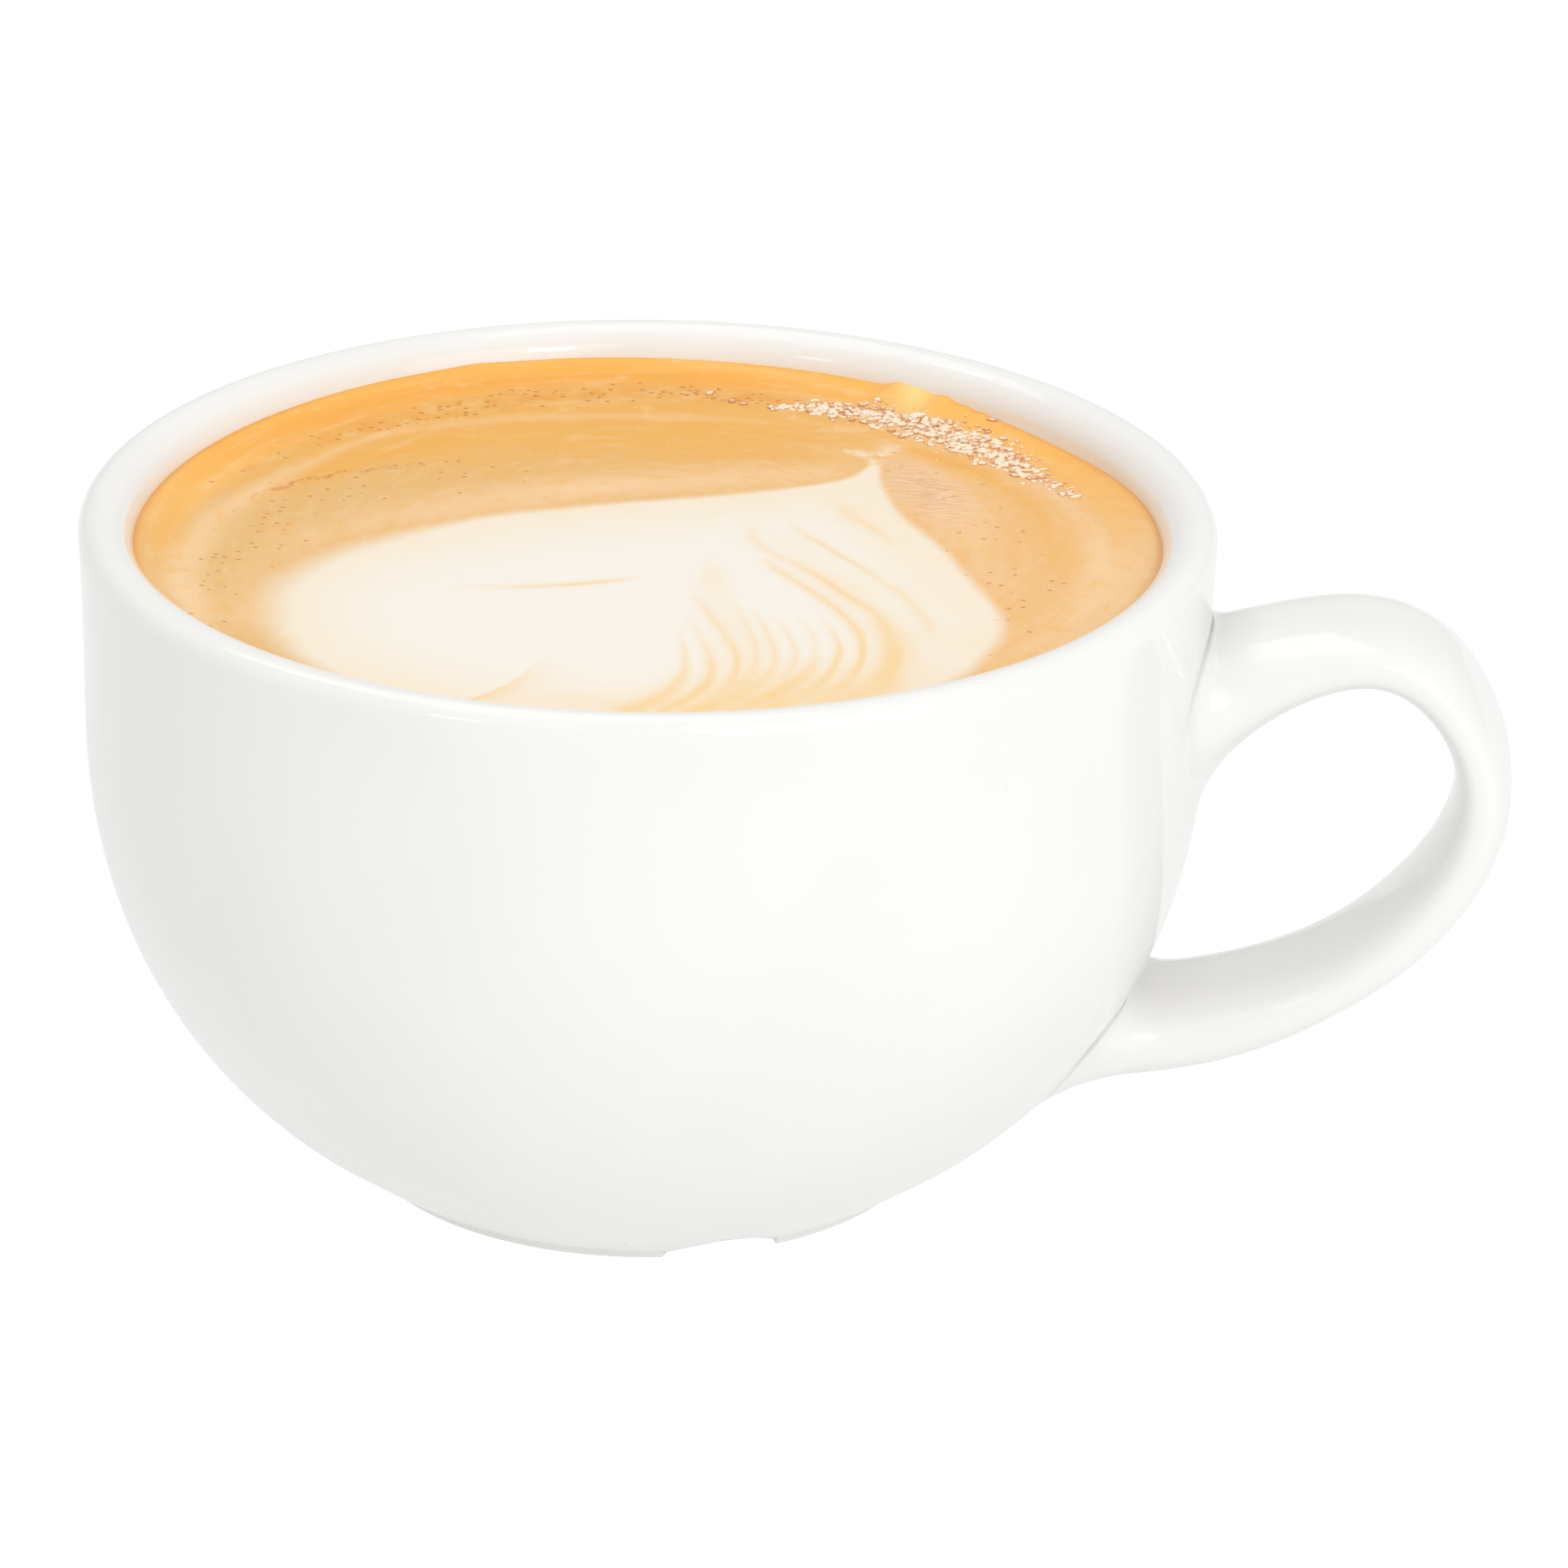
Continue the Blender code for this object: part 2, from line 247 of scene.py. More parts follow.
def strap_points(places):
    """One point of the strap for each of the section's lines, at that line's own place along the handle."""
    outer_r, outer_z, inner_r, inner_z, width = [along_spline(v, b, places) for v, b in station_columns]
    through_r, through_z = outer_r - inner_r, outer_z - inner_z
    thickness = np.hypot(through_r, through_z)
    across = section_across * width / 2
    through = section_through * thickness / 2
    r = (outer_r + inner_r) / 2 + through * through_r / thickness
    z = (outer_z + inner_z) / 2 + through * through_z / thickness
    return np.stack([r, across, z], 1)


def outside_wall(point):
    """How far a point is outside the bowl's wall."""
    return math.hypot(point[0], point[1]) - outer_radius(point[2])


def wall_normal(point):
    slope = (outer_radius(point[2] + 0.1 * MM) - outer_radius(point[2] - 0.1 * MM)) / (0.2 * MM)
    normal = Vector((point[0], point[1], -slope * math.hypot(point[0], point[1])))
    return normal.normalized()


def onto_wall(point, sink):
    grow = (outer_radius(point[2]) - sink) / math.hypot(point[0], point[1])
    return Vector((point[0] * grow, point[1] * grow, point[2]))


last_place = len(HANDLE_STATIONS_MM) - 1
fine_places = np.linspace(0, last_place, 1 + FINE_STEPS * last_place)
fine_strap = np.array([strap_points(np.full(HANDLE_LINES, place)) for place in fine_places])


def root_fillets(order, reaches):
    """For each line of the strap, the place where its fillet starts and the fillet's points to the wall."""
    starts, fillets = [], []
    for line in range(HANDLE_LINES):
        points = fine_strap[order, line]
        places = fine_places[order]
        first = next(i for i, point in enumerate(points) if outside_wall(point) > 0)
        joint = Vector((points[first] + points[first - 1]) / 2)
        middle = Vector(fine_strap[order[first]].mean(axis=0))
        face = math.sin(section_turn[line])
        outer, side, inner, kept = reaches
        reach = side + ((outer if face > 0 else inner) - side) * abs(face) ** kept
        steps = np.linalg.norm(np.diff(points[first:], axis=0), axis=1).cumsum()
        start = first + 1 + int(np.searchsorted(steps, reach))
        normal = wall_normal(joint)
        outwards = joint - middle
        outwards -= normal * outwards.dot(normal)
        landing = onto_wall(joint + outwards.normalized() * reach, FILLET_SINK)
        # The curve's corner lies in the wall's tangent plane at the landing, so that it lands with no crease
        landing_normal = wall_normal(landing)
        corner = joint + landing_normal * (landing - joint).dot(landing_normal)
        fillet = []
        for step in range(1, FILLET_RINGS + 1):
            t = step / FILLET_RINGS
            on_strap = Vector(points[start]) * (1 - t) ** 2
            fillet.append(on_strap + corner * (2 * t * (1 - t)) + landing * t * t)
        fillet.append(landing - landing_normal * ROOT_DEPTH)
        starts.append(places[start])
        fillets.append(fillet)
    return np.array(starts), fillets


down_the_handle = np.arange(len(fine_places))
upper_starts, upper_fillets = root_fillets(down_the_handle, UPPER_FILLET)
lower_starts, lower_fillets = root_fillets(down_the_handle[::-1], LOWER_FILLET)

rings = [[fillet[step] for fillet in upper_fillets] for step in range(FILLET_RINGS, -1, -1)]
for ring in range(HANDLE_RINGS + 1):
    share = ring / HANDLE_RINGS
    rings.append(list(strap_points(upper_starts + (lower_starts - upper_starts) * share)))
rings += [[fillet[step] for fillet in lower_fillets] for step in range(FILLET_RINGS + 1)]

strap = bmesh.new()
loops = [[strap.verts.new((point[0] + AXIS_X, point[1], point[2])) for point in ring] for ring in rings]
for near, far in zip(loops, loops[1:]):
    for line in range(HANDLE_LINES):
        after = (line + 1) % HANDLE_LINES
        strap.faces.new((near[line], near[after], far[after], far[line]))
for loop in (loops[0], loops[-1]):
    hub = strap.verts.new(sum((vertex.co for vertex in loop), Vector()) / len(loop))
    for line in range(HANDLE_LINES):
        strap.faces.new((loop[line], loop[(line + 1) % HANDLE_LINES], hub))
bmesh.ops.recalc_face_normals(strap, faces=strap.faces)
handle_mesh = bpy.data.meshes.new("handle")
strap.to_mesh(handle_mesh)
strap.free()
handle = bpy.data.objects.new("handle", handle_mesh)
bpy.context.scene.collection.objects.link(handle)


def join_or_cut(piece, other, operation):
    """A Boolean of one shape with another, applied, after which the other is gone."""
    boolean = piece.modifiers.new("join", "BOOLEAN")
    boolean.operation = operation
    boolean.object = other
    boolean.solver = "EXACT"
    select_only(piece)
    bpy.ops.object.modifier_apply(modifier=boolean.name)
    bpy.data.objects.remove(other, do_unlink=True)


join_or_cut(cup, handle, "UNION")


# A drain notch was pressed across the foot ring before firing, so that water runs out of the recess when the
# cup stands upside down in a rack. Only its low arch shows, at the front and a little towards the handle.
NOTCH_WIDTH = 11.5 * MM
NOTCH_DEPTH = 3.7 * MM
NOTCH_ANGLE = math.radians(-68.5)
NOTCH_SIDES = 128

notch_radius = ((NOTCH_WIDTH / 2) ** 2 + NOTCH_DEPTH**2) / (2 * NOTCH_DEPTH)
notch_way = Vector((math.cos(NOTCH_ANGLE), math.sin(NOTCH_ANGLE), 0.0))
notch_middle = notch_way * (FOOT_RADIUS + FOOT_INNER_RADIUS) / 2
bpy.ops.object.select_all(action="DESELECT")
bpy.ops.mesh.primitive_cylinder_add(
    vertices=NOTCH_SIDES,
    radius=notch_radius,
    depth=FOOT_INNER_RADIUS,
    location=(AXIS_X + notch_middle.x, notch_middle.y, NOTCH_DEPTH - notch_radius),
    rotation=notch_way.to_track_quat("Z", "Y").to_euler(),
)
join_or_cut(cup, bpy.context.object, "DIFFERENCE")
select_only(cup)
bpy.ops.object.shade_smooth_by_angle(angle=math.radians(40))

# Where a vertex lies on the turned wall it is shaded as the wall is, and just above it partly so, so that
# the fillets run into the wall with no line
ON_WALL = 0.03 * MM
NEAR_WALL = 0.45 * MM
shading = []
for vertex in cup.data.vertices:
    point = vertex.co - Vector((AXIS_X, 0.0, 0.0))
    lift = abs(outside_wall(point))
    if FOOT_TOP < point.z < CUP_HEIGHT - LIP_OUTER_ROUND and lift < NEAR_WALL:
        own = max(0.0, (lift - ON_WALL) / (NEAR_WALL - ON_WALL))
        shading.append(wall_normal(point).lerp(vertex.normal, own).normalized())
    else:
        shading.append(Vector())
cup.data.normals_split_custom_set_from_vertices(shading)


# The glaze is a warm white gloss over the whole cup but for the flat of the foot ring, which is wiped clean
# so that it doesn't stick in the kiln. It lies a little unevenly, and holds a few faint specks.
GLAZE_WHITE = (0.860, 0.855, 0.835, 1.0)
GLAZE_SHADE = (0.845, 0.838, 0.812, 1.0)
BARE_CLAY = (0.74, 0.70, 0.62, 1.0)
SPECK_BROWN = (0.42, 0.36, 0.28, 1.0)
BARE_HEIGHT = 0.12 * MM


def add(tree, kind, inputs=(), **settings):
    """A shader node with its settings, whose inputs are numbers, colours or other nodes' sockets."""
    node = tree.nodes.new("ShaderNode" + kind)
    for name, value in settings.items():
        setattr(node, name, value)
    for key, value in dict(inputs).items():
        if isinstance(value, bpy.types.NodeSocket):
            tree.links.new(value, node.inputs[key])
        else:
            node.inputs[key].default_value = value
    return node


def maths(tree, operation, first, second):
    return add(tree, "Math", {0: first, 1: second}, operation=operation).outputs[0]


def blended(tree, share, first, second):
    """A colour between two others, or between two other nodes' colours."""
    node = add(tree, "Mix", {0: share, 6: first, 7: second}, data_type="RGBA")
    return node.outputs[2]


def ramped(tree, value, low, high, start=0.0, end=1.0):
    """A value that eases from start to end while another goes from low to high."""
    inputs = {"Value": value, "From Min": low, "From Max": high, "To Min": start, "To Max": end}
    return add(tree, "MapRange", inputs, interpolation_type="SMOOTHSTEP").outputs[0]


def noise(tree, where, scale, detail=2.0, roughness=0.5):
    inputs = {"Vector": where, "Scale": scale, "Detail": detail, "Roughness": roughness}
    return add(tree, "TexNoise", inputs).outputs["Fac"]


def new_material(name):
    material = bpy.data.materials.new(name)
    material.use_nodes = True
    return material, material.node_tree, material.node_tree.nodes["Principled BSDF"]


glaze, tree, shader = new_material("white_glaze")
where = add(tree, "TexCoord").outputs["Object"]
heights = add(tree, "SeparateXYZ", {0: where}).outputs[2]
clouds = noise(tree, where, 45.0, 3.0)
colour = blended(tree, ramped(tree, clouds, 0.35, 0.65), GLAZE_WHITE, GLAZE_SHADE)
cells = add(tree, "TexVoronoi", {"Vector": where, "Scale": 85.0})
cell_chance = add(tree, "SeparateXYZ", {0: cells.outputs["Color"]}).outputs[0]
round_spot = ramped(tree, cells.outputs["Distance"], 0.014, 0.03, 1.0, 0.0)
speck = maths(tree, "MULTIPLY", round_spot, ramped(tree, cell_chance, 0.86, 0.89, 0.0, 0.3))
colour = blended(tree, speck, colour, SPECK_BROWN)
bare = ramped(tree, heights, BARE_HEIGHT, 2 * BARE_HEIGHT, 1.0, 0.0)
colour = blended(tree, bare, colour, BARE_CLAY)
tree.links.new(colour, shader.inputs["Base Color"])
satin = ramped(tree, noise(tree, where, 140.0, 2.0), 0.3, 0.7, 0.04, 0.07)
tree.links.new(maths(tree, "ADD", satin, maths(tree, "MULTIPLY", bare, 0.6)), shader.inputs["Roughness"])
waves = add(tree, "Bump", {"Strength": 1.0, "Distance": 0.00006, "Height": noise(tree, where, 90.0, 1.0)})
tree.links.new(waves.outputs[0], shader.inputs["Normal"])
shader.inputs["IOR"].default_value = 1.5
cup.data.materials.clear()
cup.data.materials.append(glaze)
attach(cup, "root")
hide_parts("cup")


# The drink fills the bowl to just under the lip: milk foam over coffee, with a skin of crema. Its edge
# climbs the wall unevenly. The piece is closed, with its side and bottom against the bowl, where the cup
# hides them.
FOAM_LEVEL = 62.3 * MM
FOAM_EDGE_CLIMB = 0.3 * MM
FOAM_EDGE_WIDTH = 4.0 * MM
FOAM_DOME = 0.35 * MM
FOAM_CELLS = 300
INTO_WALL = 0.06 * MM
# The gap between the drink's body and the bowl below the surface, and how many rings the body has
BODY_GAP = 0.3 * MM
BODY_RINGS = 6
# Where the edge of the foam stands higher or lower: (angle round the cup, spread, height)
FOAM_SWELLS = (
    (math.radians(115), math.radians(38), 0.65 * MM),
    (math.radians(116.5), math.radians(3.0), 0.18 * MM),
    (math.radians(65.2), math.radians(1.3), 0.40 * MM),
    (math.radians(62.6), math.radians(2.6), 0.52 * MM),
    (math.radians(58.4), math.radians(1.3), 0.50 * MM),
    (math.radians(55.6), math.radians(0.9), 0.20 * MM),
    (math.radians(52.8), math.radians(0.8), 0.14 * MM),
    (math.radians(40), math.radians(16), -0.75 * MM),
)
SWELL_START = 0.5

bpy.ops.object.select_all(action="DESELECT")
bpy.ops.mesh.primitive_grid_add(x_subdivisions=FOAM_CELLS, y_subdivisions=FOAM_CELLS, size=2.0)
foam = bpy.context.object
foam.name = "foam"
bpy.ops.object.mode_set(mode="EDIT")
bpy.ops.mesh.select_all(action="DESELECT")
bpy.ops.mesh.select_non_manifold()
body_floor = bowl_floor + BODY_GAP
body_radius, body_depth = wall_radius - BODY_GAP, INNER_DEPTH - BODY_GAP
side_rings = bowl_points(body_radius, body_depth, INNER_FULLNESS, body_floor, BODY_RINGS)
for _ in side_rings[:-1]:
    bpy.ops.mesh.extrude_region_move(TRANSFORM_OT_translate={"value": (0.0, 0.0, -1.0)})
bpy.ops.mesh.extrude_region_move()
bpy.ops.mesh.merge(type="CENTER")
bpy.ops.object.mode_set(mode="OBJECT")

count = len(foam.data.vertices)
flat = np.empty(count * 3, np.float32)
foam.data.vertices.foreach_get("co", flat)
square = flat.reshape(count, 3).astype(float)
# A square of points becomes a disc: each square ring round the middle turns into a circle of the same size
span = np.maximum(np.abs(square[:, 0]), np.abs(square[:, 1]))
wide = np.abs(square[:, 0]) >= np.abs(square[:, 1])
safe_x = np.where(np.abs(square[:, 0]) < 1e-9, 1e-9, square[:, 0])
safe_y = np.where(np.abs(square[:, 1]) < 1e-9, 1e-9, square[:, 1])
turn_wide = math.pi / 4 * square[:, 1] / safe_x
turn_tall = math.pi / 2 - math.pi / 4 * square[:, 0] / safe_y
turn = np.where(wide, turn_wide, turn_tall)
turn += np.where(np.where(wide, square[:, 0], square[:, 1]) < 0, math.pi, 0.0)
on_top = square[:, 2] > -0.5
angle = np.arctan2(np.sin(turn), np.cos(turn))


def swell_at(angle):
    height = np.zeros_like(angle)
    for middle, spread, rise in FOAM_SWELLS:
        away = np.arctan2(np.sin(angle - middle), np.cos(angle - middle))
        height += rise * np.exp(-((away / spread) ** 2))
    return height


def foam_height(out, angle):
    """The foam's surface: a slight dome, and an edge that climbs the wall."""
    shore = wall_radius - FOAM_EDGE_WIDTH
    dome = FOAM_DOME * np.clip(1 - (out / shore) ** 2, 0, 1)
    climb = FOAM_EDGE_CLIMB * np.clip((out - shore) / FOAM_EDGE_WIDTH, 0, 1) ** 2
    near_wall = np.clip((out / wall_radius - SWELL_START) / (1 - SWELL_START), 0, 1) ** 2
    return FOAM_LEVEL + dome + climb + near_wall * swell_at(angle)


placed = np.zeros_like(square)
out = span * (wall_radius + INTO_WALL)
placed[on_top, 0] = (out * np.cos(turn))[on_top]
placed[on_top, 1] = (out * np.sin(turn))[on_top]
placed[on_top, 2] = foam_height(out, angle)[on_top]
for depth_step, (ring_radius, ring_height) in enumerate(side_rings[:-1]):
    ring_here = np.abs(square[:, 2] + 1 + depth_step) < 0.5
    placed[ring_here, 0] = (ring_radius * np.cos(turn))[ring_here]
    placed[ring_here, 1] = (ring_radius * np.sin(turn))[ring_here]
    placed[ring_here, 2] = ring_height
hub_here = (square[:, 2] < -0.5) & (span < 0.001)
placed[hub_here] = (0.0, 0.0, body_floor)


# The pattern on the foam is poured: milk spreads as a pale leaf in the brown crema, the jug's wiggle folds
# thin threads of crema into it, and a last pull draws the leaf's tip to the wall. Places are in mm from the
# axis.
LEAF_EDGE = (
    # (x, y, softness of the edge)
    (19.3, 22.0, 0.5), (17.6, 18.6, 0.6), (14.0, 16.0, 0.7), (9.0, 13.6, 0.9), (3.0, 11.2, 0.9),
    (-3.0, 9.2, 0.9), (-9.0, 6.8, 1.0), (-14.5, 4.5, 1.1), (-19.0, 1.7, 1.2), (-23.5, -1.8, 1.8),
    (-28.0, -6.0, 2.4), (-31.5, -11.0, 2.9), (-33.4, -16.5, 3.1), (-33.4, -22.0, 3.0),
    (-31.6, -28.5, 2.6), (-28.4, -34.0, 2.0), (-22.0, -40.0, 1.4), (-12.0, -44.6, 1.4), (0.0, -46.0, 1.4),
    (12.0, -44.6, 1.4), (22.0, -40.2, 1.4), (28.5, -35.3, 1.3), (32.0, -30.3, 1.2), (33.6, -26.0, 1.2),
    (34.8, -21.0, 1.2), (34.8, -16.5, 1.1), (33.2, -11.5, 0.9), (30.6, -5.5, 0.9), (28.6, -0.5, 0.8),
    (26.0, 4.5, 0.8), (23.4, 9.2, 0.7), (21.6, 14.5, 0.6), (20.6, 19.0, 0.5), (20.1, 22.5, 0.5),
)
# Threads of crema in the leaf: (x, y, width, strength)
THREADS = (
    ((16.8, 12.0, 1.2, 0.2), (18.5, 8.8, 0.9, 0.4), (20.5, 6.0, 0.6, 0.45), (22.2, 3.4, 0.5, 0.4),
     (23.6, 1.0, 0.5, 0.15)),
    ((12.8, 6.4, 0.5, 0.1), (14.6, 2.9, 0.5, 0.4), (16.6, 0.5, 0.4, 0.6), (18.2, -2.0, 0.4, 0.7),
     (20.4, -4.6, 0.4, 0.5), (22.6, -8.0, 0.5, 0.35), (24.8, -11.0, 0.6, 0.4), (26.6, -15.0, 0.6, 0.4),
     (28.0, -18.5, 0.6, 0.4), (28.8, -23.0, 0.7, 0.1)),
    ((9.6, 4.5, 0.6, 0.15), (10.0, 1.0, 0.6, 0.35), (11.6, -2.0, 0.6, 0.4), (14.6, -5.2, 0.5, 0.45),
     (17.6, -8.9, 0.5, 0.7), (20.2, -12.7, 0.5, 0.75), (22.6, -16.0, 0.6, 0.7), (24.2, -20.0, 0.9, 0.7),
     (25.2, -25.0, 1.2, 0.8), (25.2, -30.0, 1.4, 0.85), (24.0, -35.0, 2.0, 0.7), (20.5, -39.5, 2.2, 0.7)),
    ((11.4, -4.4, 0.5, 0.3), (13.2, -7.1, 0.5, 0.6), (15.6, -10.4, 0.45, 0.65), (18.0, -13.9, 0.45, 0.7),
     (20.1, -17.4, 0.45, 0.7), (21.6, -21.0, 0.5, 0.75), (22.4, -25.0, 0.5, 0.8), (22.4, -29.0, 0.5, 0.8),
     (21.7, -33.0, 0.8, 0.65), (19.8, -37.5, 1.6, 0.6)),
    ((17.2, -16.5, 0.4, 0.05), (19.0, -20.8, 0.4, 0.3), (20.2, -25.0, 0.4, 0.65),
     (20.2, -29.0, 0.4, 0.75), (19.5, -33.0, 0.5, 0.7), (17.6, -37.0, 1.2, 0.7), (14.6, -40.5, 1.0, 0.7)),
    ((14.8, -16.5, 0.4, 0.05), (17.4, -22.0, 0.4, 0.3), (18.2, -27.5, 0.4, 0.35), (17.8, -31.5, 0.8, 0.6),
     (16.4, -35.0, 0.9, 0.8), (14.6, -38.0, 0.8, 0.9), (12.2, -41.0, 0.8, 0.8)),
    ((13.4, -18.0, 0.4, 0.1), (15.4, -23.0, 0.4, 0.35), (16.4, -27.5, 0.4, 0.4), (16.0, -32.0, 0.5, 0.35),
     (14.2, -36.5, 0.6, 0.35), (11.0, -40.5, 0.6, 0.4)),
    ((11.4, -17.0, 0.4, 0.15), (13.2, -22.0, 0.4, 0.4), (14.4, -27.0, 0.4, 0.45), (14.5, -31.5, 0.5, 0.5),
     (13.0, -36.0, 0.9, 0.6), (10.0, -40.2, 1.0, 0.85), (8.0, -42.2, 0.8, 0.85)),
    ((9.4, -15.0, 0.4, 0.1), (11.2, -20.5, 0.4, 0.3), (12.5, -26.0, 0.4, 0.4), (12.9, -30.5, 0.5, 0.45),
     (12.0, -35.5, 0.8, 0.55), (9.6, -39.6, 0.8, 0.7)),
    ((5.8, -14.5, 0.5, 0.2), (7.6, -18.7, 0.4, 0.45), (9.3, -23.0, 0.4, 0.5), (10.7, -27.0, 0.4, 0.65),
     (11.3, -31.0, 0.45, 0.7), (10.9, -35.5, 0.6, 0.6), (9.2, -39.5, 0.6, 0.5)),
    ((5.6, -19.5, 0.4, 0.1), (7.3, -24.5, 0.4, 0.35), (8.6, -29.0, 0.5, 0.5), (9.1, -33.0, 0.5, 0.75),
     (8.6, -36.5, 0.5, 0.85), (7.3, -39.5, 0.5, 0.8), (5.6, -42.0, 0.5, 0.8)),
    ((4.9, -22.0, 0.4, 0.05), (6.0, -27.0, 0.4, 0.35), (6.6, -31.5, 0.5, 0.5), (6.3, -35.5, 0.6, 0.65),
     (5.2, -39.0, 0.7, 0.7), (2.4, -42.4, 0.7, 0.85)),
    ((-16.5, -14.6, 0.8, 0.1), (-12.5, -14.2, 0.6, 0.25), (-8.8, -13.6, 0.45, 0.6),
     (-5.6, -12.7, 0.4, 0.8), (-2.6, -11.6, 0.4, 0.6), (0.0, -10.4, 0.4, 0.2)),
)
# Warmer, creamier stretches in the leaf
CREAM = (
    ((-28.0, -10.0, 3.0, 0.5), (-19.0, -1.5, 2.6, 0.5), (-8.0, 3.5, 2.6, 0.5), (3.0, 8.0, 2.4, 0.45),
     (12.0, 12.5, 2.0, 0.2)),
    ((-31.0, -30.0, 3.0, 0.5), (-31.5, -20.0, 3.0, 0.5), (-27.5, -11.0, 3.0, 0.4)),
    ((6.5, -5.0, 1.0, 0.3), (7.0, -9.0, 1.6, 0.6), (7.8, -14.0, 2.0, 0.5), (10.0, -22.0, 2.5, 0.5),
     (13.0, -32.0, 4.0, 0.7)),
    ((11.0, 5.0, 1.5, 0.3), (15.0, -3.0, 2.5, 0.5), (20.0, -10.0, 3.0, 0.6), (24.0, -18.0, 3.5, 0.6),
     (26.5, -27.0, 3.5, 0.7), (24.0, -35.0, 4.0, 0.9)),
    ((17.5, 12.0, 1.5, 0.5), (20.5, 8.0, 1.6, 0.6), (24.5, 3.5, 1.4, 0.5), (28.5, -4.0, 1.5, 0.5),
     (31.8, -12.0, 1.8, 0.5), (33.0, -20.0, 2.0, 0.5), (31.0, -29.0, 2.0, 0.5)),
    ((-9.5, -40.5, 2.5, 0.5), (-3.0, -41.5, 4.0, 0.8), (4.0, -41.5, 5.0, 1.0), (12.0, -38.5, 6.0, 1.0),
     (20.0, -34.0, 6.0, 1.0), (27.0, -31.0, 4.0, 0.6)),
)
# How far the leaf's edge is creamy, and how strongly
CREAM_EDGE_WIDTH = 8.0
CREAM_EDGE_STRENGTH = 0.75
# Threads are drawn wider than their marks, and towards the front lip by up to so much more
THREAD_WIDTH = 1.1
THREAD_WIDENING = 0.7
WIDENING_LENGTH = 10.0
# Round each thread lies a fainter, wider shade
SHADE_STRENGTH = 0.4
SHADE_WIDTH = 2.2
# Where the leaf's foot begins, towards the front
FOOT_OF_LEAF = -30.0
# The side of the fold at the leaf's foot, with crema only to its right
FOLD = ((-13.0, -42.2), (-10.8, -40.0), (-9.0, -37.4), (-7.8, -34.6), (-7.2, -31.5))
FOLD_STRENGTH = 0.9
FOLD_LENGTH = 12.0
FOLD_FADE = 2.2
# Pale streaks, golden bands and a deep amber band that the pour dragged round through the crema
PALE_STREAKS = (
    ((-38.0, -29.0, 2.0, 0.4), (-40.5, -22.0, 2.2, 0.9), (-42.6, -15.0, 2.2, 0.9),
     (-42.8, -7.0, 2.2, 0.8), (-41.6, 0.5, 1.8, 0.7), (-39.2, 7.5, 1.5, 0.7), (-36.0, 14.0, 1.2, 0.5),
     (-31.5, 22.0, 0.9, 0.4), (-25.5, 27.0, 0.9, 0.4), (-17.0, 30.8, 1.0, 0.4), (-8.0, 32.8, 1.0, 0.35),
     (3.0, 33.6, 1.0, 0.3), (11.0, 33.0, 0.9, 0.15)),
    ((30.0, 27.0, 1.0, 0.1), (36.0, 20.0, 1.2, 0.35), (40.8, 11.0, 1.4, 0.5), (42.6, 3.0, 2.0, 0.8),
     (42.8, -7.0, 2.0, 0.7), (41.0, -15.0, 1.8, 0.4)),
)
GOLDEN_BANDS = (
    ((-40.0, 5.0, 2.0, 0.3), (-35.5, 11.5, 2.6, 0.75), (-28.0, 20.0, 3.2, 1.0), (-21.0, 24.5, 3.6, 0.95),
     (-10.0, 25.5, 4.2, 0.8), (0.0, 25.0, 4.6, 0.75), (9.0, 25.0, 4.2, 0.7), (16.0, 26.0, 2.6, 0.4)),
    ((-41.0, 12.0, 5.0, 0.5), (-31.0, 24.0, 10.0, 0.8), (-12.0, 31.0, 13.0, 0.85),
     (8.0, 32.0, 11.0, 0.85), (20.0, 32.0, 5.0, 0.5)),
    ((21.5, 28.8, 1.4, 0.5), (26.0, 26.0, 1.7, 0.9), (30.5, 21.5, 1.9, 0.9), (34.5, 16.0, 2.0, 0.5),
     (38.5, 7.0, 2.4, 0.45), (40.5, -3.0, 2.0, 0.35)),
    ((-45.5, 4.0, 0.9, 0.35), (-45.6, -6.0, 0.9, 0.4), (-44.4, -16.0, 0.9, 0.3)),
)
AMBER_BAND = (
    ((-45.5, 11.0, 1.4, 0.2), (-43.0, 17.5, 2.0, 0.6), (-38.5, 24.8, 2.6, 0.9), (-34.2, 29.0, 3.0, 1.0),
     (-26.4, 36.2, 3.0, 1.0), (-15.0, 41.8, 2.9, 1.0), (-3.8, 44.2, 2.8, 1.0), (7.6, 43.4, 2.6, 0.9),
     (15.2, 41.4, 1.8, 0.5), (21.0, 39.4, 1.2, 0.2)),
)
PEACH_PATCHES = (
    ((-35.0, -24.0, 3.0, 0.6), (-36.0, -14.0, 2.5, 0.35), (-32.0, -4.0, 3.4, 0.5), (-20.0, 5.5, 4.0, 0.8),
     (-7.0, 12.5, 3.6, 1.0), (5.0, 16.5, 3.2, 0.9), (15.0, 20.0, 2.4, 0.7)),
    ((23.5, 21.0, 2.6, 0.7), (26.0, 15.0, 4.0, 1.0), (29.0, 8.0, 3.0, 0.8), (31.5, -1.0, 2.5, 0.5),
     (35.0, -10.0, 2.5, 0.4)),
    ((47.0, 10.0, 2.0, 0.5), (47.0, 3.0, 2.6, 0.8), (45.5, -8.0, 3.0, 1.0), (41.0, -19.0, 3.5, 0.8),
     (36.0, -27.0, 2.5, 0.4)),
)
# The orange band along the wall: the direction of its middle, and where it is full and where it ends, to
# each side
RIM_MIDDLE = math.radians(100)
RIM_START = 55.0
RIM_END = 105.0
# How wide it is at its ends, how much wider at its middle, and how soft its inner side
RIM_WIDTH = 4.0
RIM_SWELL = 2.0
RIM_SOFTNESS = 2.5
